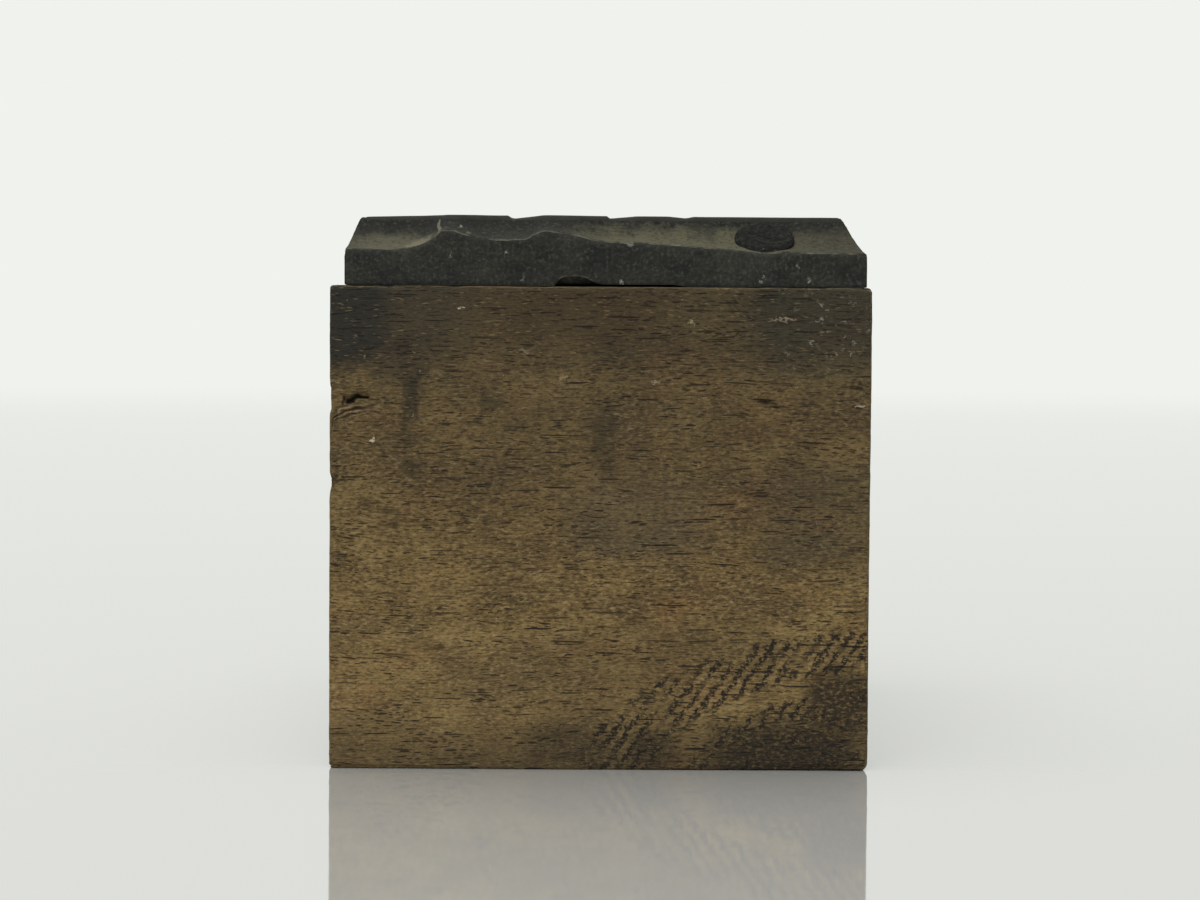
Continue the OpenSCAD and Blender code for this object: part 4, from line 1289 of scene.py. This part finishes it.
WIPED_HALF = (*(BORDER_HALF + 0.7), 3.0)
inside = blot(tree, place, (*plate_mid, TYPE_H), WIPED_HALF, 0.12, 1.0)
inside = add(tree, "ShaderNodeMapRange", {"Value": inside, "To Min": 0.25})
for mask in (raised, inside):
    clean = add(tree, "ShaderNodeMath", {0: clean, 1: mask}, operation="MULTIPLY")

# %% [markdown]
# Bare copper shines like a metal, and dried ink is dull and rough, so the same mask sets the
# colour, the metal and the gloss.

# %% Copper: colour, relief and gloss
ink = tint(tree, "#11110e", copper_noise["film"], 0.3, 0.7, 1.0, "#201f1a")
skin = add(tree, "ShaderNodeMix", {0: clean, 6: ink, 7: bare}, out=2, data_type="RGBA")
green_spots = grains(tree, fray(tree, place, 0.3, 1.4), (1.6, 1.6, 1.6), -0.5, 0.17)
skin = add(tree, "ShaderNodeMix", {0: green_spots, 6: skin, 7: "#43584a"}, out=2, data_type="RGBA")
height = weigh(tree, (copper_noise["film"], 0.03), (copper_noise["grit"], 0.01),
               (copper_noise["wiping"], 0.008))
normal = add(tree, "ShaderNodeBump", {"Height": height, "Distance": MM, "Strength": 0.7})
metal = add(tree, "ShaderNodeMapRange", {"Value": clean, "To Min": 0.1, "To Max": 0.9})
gloss = add(tree, "ShaderNodeMapRange", {"Value": clean, "To Min": 0.75, "To Max": 0.4})
fill(tree, copper_shader, {"Base Color": skin, "Metallic": metal, "Roughness": gloss, "Normal": normal,
                           "Specular IOR Level": 0.2})
print("copper material:", len(tree.nodes), "nodes")

# %% [markdown]
# The same tree makes each ring of forms of the design: a count, where the ring starts and
# steps, how far out a form begins, and its length and width. A root closes each spray.

# %% Shell: rosette, beads and sprays
PETALS, BEADS = 8, 36
LEAF_L, LEAF_W, LEAF_FROM, ROOT_R = 2.3, 0.82, 0.5, 0.34
FIELD_HALF = BORDER_HALF - RULE_GAP - RULE_W
CORNER_IN, SPRAY_GAP = 2.9, 0.65
SPRAY_FAN, CORNER_FAN = math.radians(38), math.radians(34)  # angle from leaf to leaf
FORM_SINK = 0.008  # the forms are worn this much lower than the face
quarter, full = math.pi / 2, 2 * math.pi
FORMS = [
    # count, start, step, from, length, width, pointed, place from the plate's middle, turn
    (1, 0, 0, -1.1, 2.2, 2.2, 0, (0, 0), 0),
    (PETALS, 0, full / PETALS, 1.4, 3.6, 1.25, 1, (0, 0), 0),
    (PETALS, math.pi / PETALS, full / PETALS, 3.3, 1.8, 0.95, 1, (0, 0), 0),
    (BEADS, 0, full / BEADS, 5.5, 0.5, 0.5, 0, (0, 0), 0),
]
sprays = [((0, math.copysign(RING_R + RING_W + SPRAY_GAP, turn)), turn, SPRAY_FAN)
          for turn in (-quarter, quarter)]
for side_x, side_y in itertools.product((-1, 1), repeat=2):
    at = (side_x * (FIELD_HALF[0] - CORNER_IN), side_y * (FIELD_HALF[1] - CORNER_IN))
    sprays.append((at, side_y * math.radians(90 - side_x * 45), CORNER_FAN))
for at, turn, fan_step in sprays:
    FORMS.append((3, -fan_step, fan_step, LEAF_FROM, LEAF_L, LEAF_W, 1, at, turn))
    FORMS.append((1, 0, 0, -ROOT_R, 2 * ROOT_R, 2 * ROOT_R, 0, at, turn))
for number, (count, start, step, away, length, width, pointed, at, turn) in enumerate(FORMS):
    place = (plate_mid[0] + at[0], plate_mid[1] + at[1], TYPE_H - FORM_SINK)
    shell_parts.append(run_tree(forms, Count=count, Start=float(start), Step=float(step), From=float(away),
                                Length=float(length), Width=float(width), Pointed=float(pointed),
                                Place=[float(c) for c in place], Turn=float(turn), Seed=number,
                                Material=copper))
WIPED = 0.93  # share of a dent that the cloth reached
points, faces = join(shell_parts)
shell = make_piece("shell", points, faces, copper, level=points[:, 2] + WIPED * dent(points) - TYPE_H)
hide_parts("printing_shell")
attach(shell, "root")

# %% [markdown]
# ## Nails
#
# Each nail is a lathe shape: point, shank, the flat under its head, a rolled rim and a nearly
# flat top that hammer and rust have pitted. Its section is turned once round the axis, then
# the radius and the height get a little noise, and the whole nail is tilted into its seat.

# %% Blackened iron
iron, tree, iron_shader, place = start_material("forged_iron_blackened")
crust = ripples(tree, place, (0.22, 0.22, 0.22), 5.0, 0.65)
black = tint(tree, "#020302", crust, 0.42, 0.62, 1.0, "#1f201a")
black = tint(tree, black, crust, 0.6, 0.75, 0.5, "#35302a")
iron_chipped = fray(tree, place, 0.14, 0.5)
iron_pits = grains(tree, iron_chipped, (0.26, 0.26, 0.26), -0.1, 0.42)
iron_dust = grains(tree, iron_chipped, (0.26, 0.26, 0.26), -0.3, 0.22)
for share, colour in ((iron_pits, "#080807"), (iron_dust, "#4c4b44")):
    black = add(tree, "ShaderNodeMix", {0: share, 6: black, 7: colour}, out=2, data_type="RGBA")
height = weigh(tree, (iron_pits, -0.08), (crust, 0.2))
normal = add(tree, "ShaderNodeBump", {"Height": height, "Distance": MM, "Strength": 0.9})
fill(tree, iron_shader, {"Base Color": black, "Normal": normal, "Metallic": 0.1, "Roughness": 0.85,
                         "Specular IOR Level": 0.15})
print("iron material:", len(tree.nodes), "nodes")

# %% [markdown]
# The section is a list of radii and heights, from the point to the middle of the head. The
# head's rings are closer together, because they carry the pits.

# %% Nails: section
NAIL_L, SHANK_R, TIP_L, HEAD_SIDES, HEAD_H = 9.5, 0.55, 1.6, 72, 0.385
HAMMERED_X, HAMMERED_Y = 0.1, -0.2
head_rings = [(r, 0.0) for r in np.linspace(0.6, 1.17, 3)]
head_rings += [(1.25, 0.03), (1.29, 0.09), (1.29, 0.2), (1.28, 0.27), (1.23, 0.33), (1.15, 0.37)]
head_rings += [(1.07 * (1 - share) + 0.02 * share, HEAD_H) for share in np.linspace(0, 1, 13)]
nail_section = [(0.03, -NAIL_L), (SHANK_R * 0.6, -NAIL_L + TIP_L * 0.6), (SHANK_R, -NAIL_L + TIP_L)]
nail_section += [(SHANK_R, -h) for h in (6.0, 4.0, 2.0, 0.0)] + head_rings
print("nail section:", len(nail_section), "points")

# %% [markdown]
# Both nails have the same section, and each has its own noise. Only the head is uneven, and
# only its top is pitted and hammered.

# %% Nails: turned and driven
angles = np.linspace(0, 2 * math.pi, HEAD_SIDES, endpoint=False)
for number, (name, (nail_x, nail_y, tilt, seat)) in enumerate(NAILS.items()):
    rings = []
    for radius, height in nail_section:
        ring = np.column_stack([radius * np.cos(angles), radius * np.sin(angles),
                                np.full(HEAD_SIDES, height)])
        if height >= 0:
            uneven = 0.01 * (1 + bumps(ring, 0.9, 41 + number))
            uneven += 0.008 * (1 + bumps(ring, 0.3, 43 + number))
            ring[:, :2] *= 1 - uneven[:, None]
        if height > 0.3:
            sunk = 0.03 * (1 + bumps(ring, 0.55, 45 + number))
            sunk += 0.015 * (1 + bumps(ring, 0.2, 47 + number))
            hammered = bell(np.hypot(ring[:, 0] - HAMMERED_X, ring[:, 1] - HAMMERED_Y), 0.0, 0.25)
            ring[:, 2] -= sunk + 0.05 * hammered
        rings.append(ring)
    points, faces = loft(np.array(rings))
    points[:, 2] -= SINK
    cos_a, sin_a = math.cos(tilt), math.sin(tilt)
    turned = np.column_stack([points[:, 0], points[:, 1] * cos_a - points[:, 2] * sin_a,
                              points[:, 1] * sin_a + points[:, 2] * cos_a])
    nail = make_piece(name + "_iron", turned + [nail_x, nail_y, BLOCK_H + seat], faces, iron)
    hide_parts(name)
    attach(nail, "root")

# %% [markdown]
# ## Stage, camera and light
#
# The block stands on a pale acrylic sheet that mirrors it, in front of white paper. The far
# side of the sheet fades into the paper.

# %% Floor
floor_mat, tree, floor_shader, place = start_material("pale_cast_acrylic_sheet")
haze = add(tree, "ShaderNodeTexNoise", {"Vector": place, "Scale": 0.012, "Detail": 3.0})
sheet = add(tree, "ShaderNodeMix", {0: haze, 6: "#aaaba6", 7: "#b0b1ac"}, out=2, data_type="RGBA")
fill(tree, floor_shader, {"Base Color": sheet, "Roughness": 0.05, "IOR": 1.5, "Coat Weight": 0.5,
                          "Coat Roughness": 0.03})
distance = add(tree, "ShaderNodeVectorMath", {0: place}, out="Value", operation="LENGTH")
FADE_FROM, FADE_TO, FLOOR_HALF = 390.0, 680.0, 900.0
fade = add(tree, "ShaderNodeMapRange", {"Value": distance, "From Min": FADE_FROM, "From Max": FADE_TO},
           interpolation_type="SMOOTHSTEP")
see_through = add(tree, "ShaderNodeBsdfTransparent")
faded = add(tree, "ShaderNodeMixShader", {0: fade, 1: floor_shader.outputs[0], 2: see_through})
tree.links.new(faded, tree.nodes["Material Output"].inputs["Surface"])
corners = [(sx * FLOOR_HALF, sy * FLOOR_HALF, 0.0) for sx, sy in ((-1, -1), (1, -1), (1, 1), (-1, 1))]
floor = make_piece("floor", corners, [(0, 1, 2, 3)], floor_mat)

# %% [markdown]
# The camera stands nearly as high as the plate, 12 cm away, and looks down a little. The lens
# follows from how many pixels a millimetre of the front covers, and the pitch from the row
# at which the block's foot stands.

# %% Camera
EYE_H, EYE_DISTANCE = 19.0, 120.0
PX_PER_MM = 23.93
IMAGE_W, IMAGE_H, SENSOR = 1200, 900, 36.0
FOOT_ROW, ROLL, ASIDE = 770.0, 0.35, -0.04
focal_px = PX_PER_MM * EYE_DISTANCE
camera = bpy.data.objects.new("camera", bpy.data.cameras.new("camera"))
bpy.context.scene.collection.objects.link(camera)
bpy.context.scene.camera = camera
camera.data.sensor_width = SENSOR
camera.data.lens = focal_px / IMAGE_W * SENSOR
camera.data.clip_start, camera.data.clip_end = 0.001, 10
foot_angle = math.atan(EYE_H / EYE_DISTANCE)
pitch = foot_angle - math.atan((FOOT_ROW - IMAGE_H / 2) / focal_px)
camera.location = (ASIDE * MM, (wood_lo[1] - EYE_DISTANCE) * MM, EYE_H * MM)
camera.rotation_euler = (math.pi / 2 - pitch, math.radians(-ROLL), 0)
print("lens", round(camera.data.lens, 1), "mm, pitch", round(math.degrees(pitch), 2))

# %% [markdown]
# The white paper is the world's own colour, which only camera and mirror rays see. A dimmer
# sky lights the object from all sides, a soft lamp stands overhead, and another stands in
# front like a window.

# %% World and lamps
world = bpy.data.worlds.new("studio")
bpy.context.scene.world = world
world.use_nodes = True
tree = world.node_tree
PAPER, SKY, SKY_LEVEL = "#f0f2ee", "#f3f6fb", 0.62
camera_ray = add(tree, "ShaderNodeLightPath", out="Is Camera Ray")
seen = camera_ray
for kind in ("Is Glossy Ray", "Is Transmission Ray"):
    seen = add(tree, "ShaderNodeMath", {0: seen, 1: camera_ray.node.outputs[kind]}, operation="MAXIMUM")
paper = add(tree, "ShaderNodeBackground", {"Color": PAPER, "Strength": 1.0})
sky = add(tree, "ShaderNodeBackground", {"Color": SKY, "Strength": SKY_LEVEL})
both = add(tree, "ShaderNodeMixShader", {0: seen, 1: sky, 2: paper})
tree.links.new(both, tree.nodes["World Output"].inputs["Surface"])


def lamp(name, place, target, size, watts, colour):
    """A square soft lamp at a place, aimed at a target, in millimetres."""
    light = bpy.data.lights.new(name, "AREA")
    light.size, light.energy, light.color = size * MM, watts, hex_colour(colour)[:3]
    holder = bpy.data.objects.new(name, light)
    bpy.context.scene.collection.objects.link(holder)
    holder.location = [c * MM for c in place]
    aim = holder.location.copy()
    aim.x, aim.y, aim.z = (t * MM - p for t, p in zip(target, holder.location))
    holder.rotation_euler = aim.to_track_quat("-Z", "Y").to_euler()
    return holder


lamp("overhead", (-40, -30, 260), (0, 0, 10), 260, 0.55, "#fffaf2")
lamp("window", (-30, -240, 170), (0, 0, 10), 220, 0.4, "#f6f8ff")
bpy.context.scene.view_settings.view_transform = "Standard"
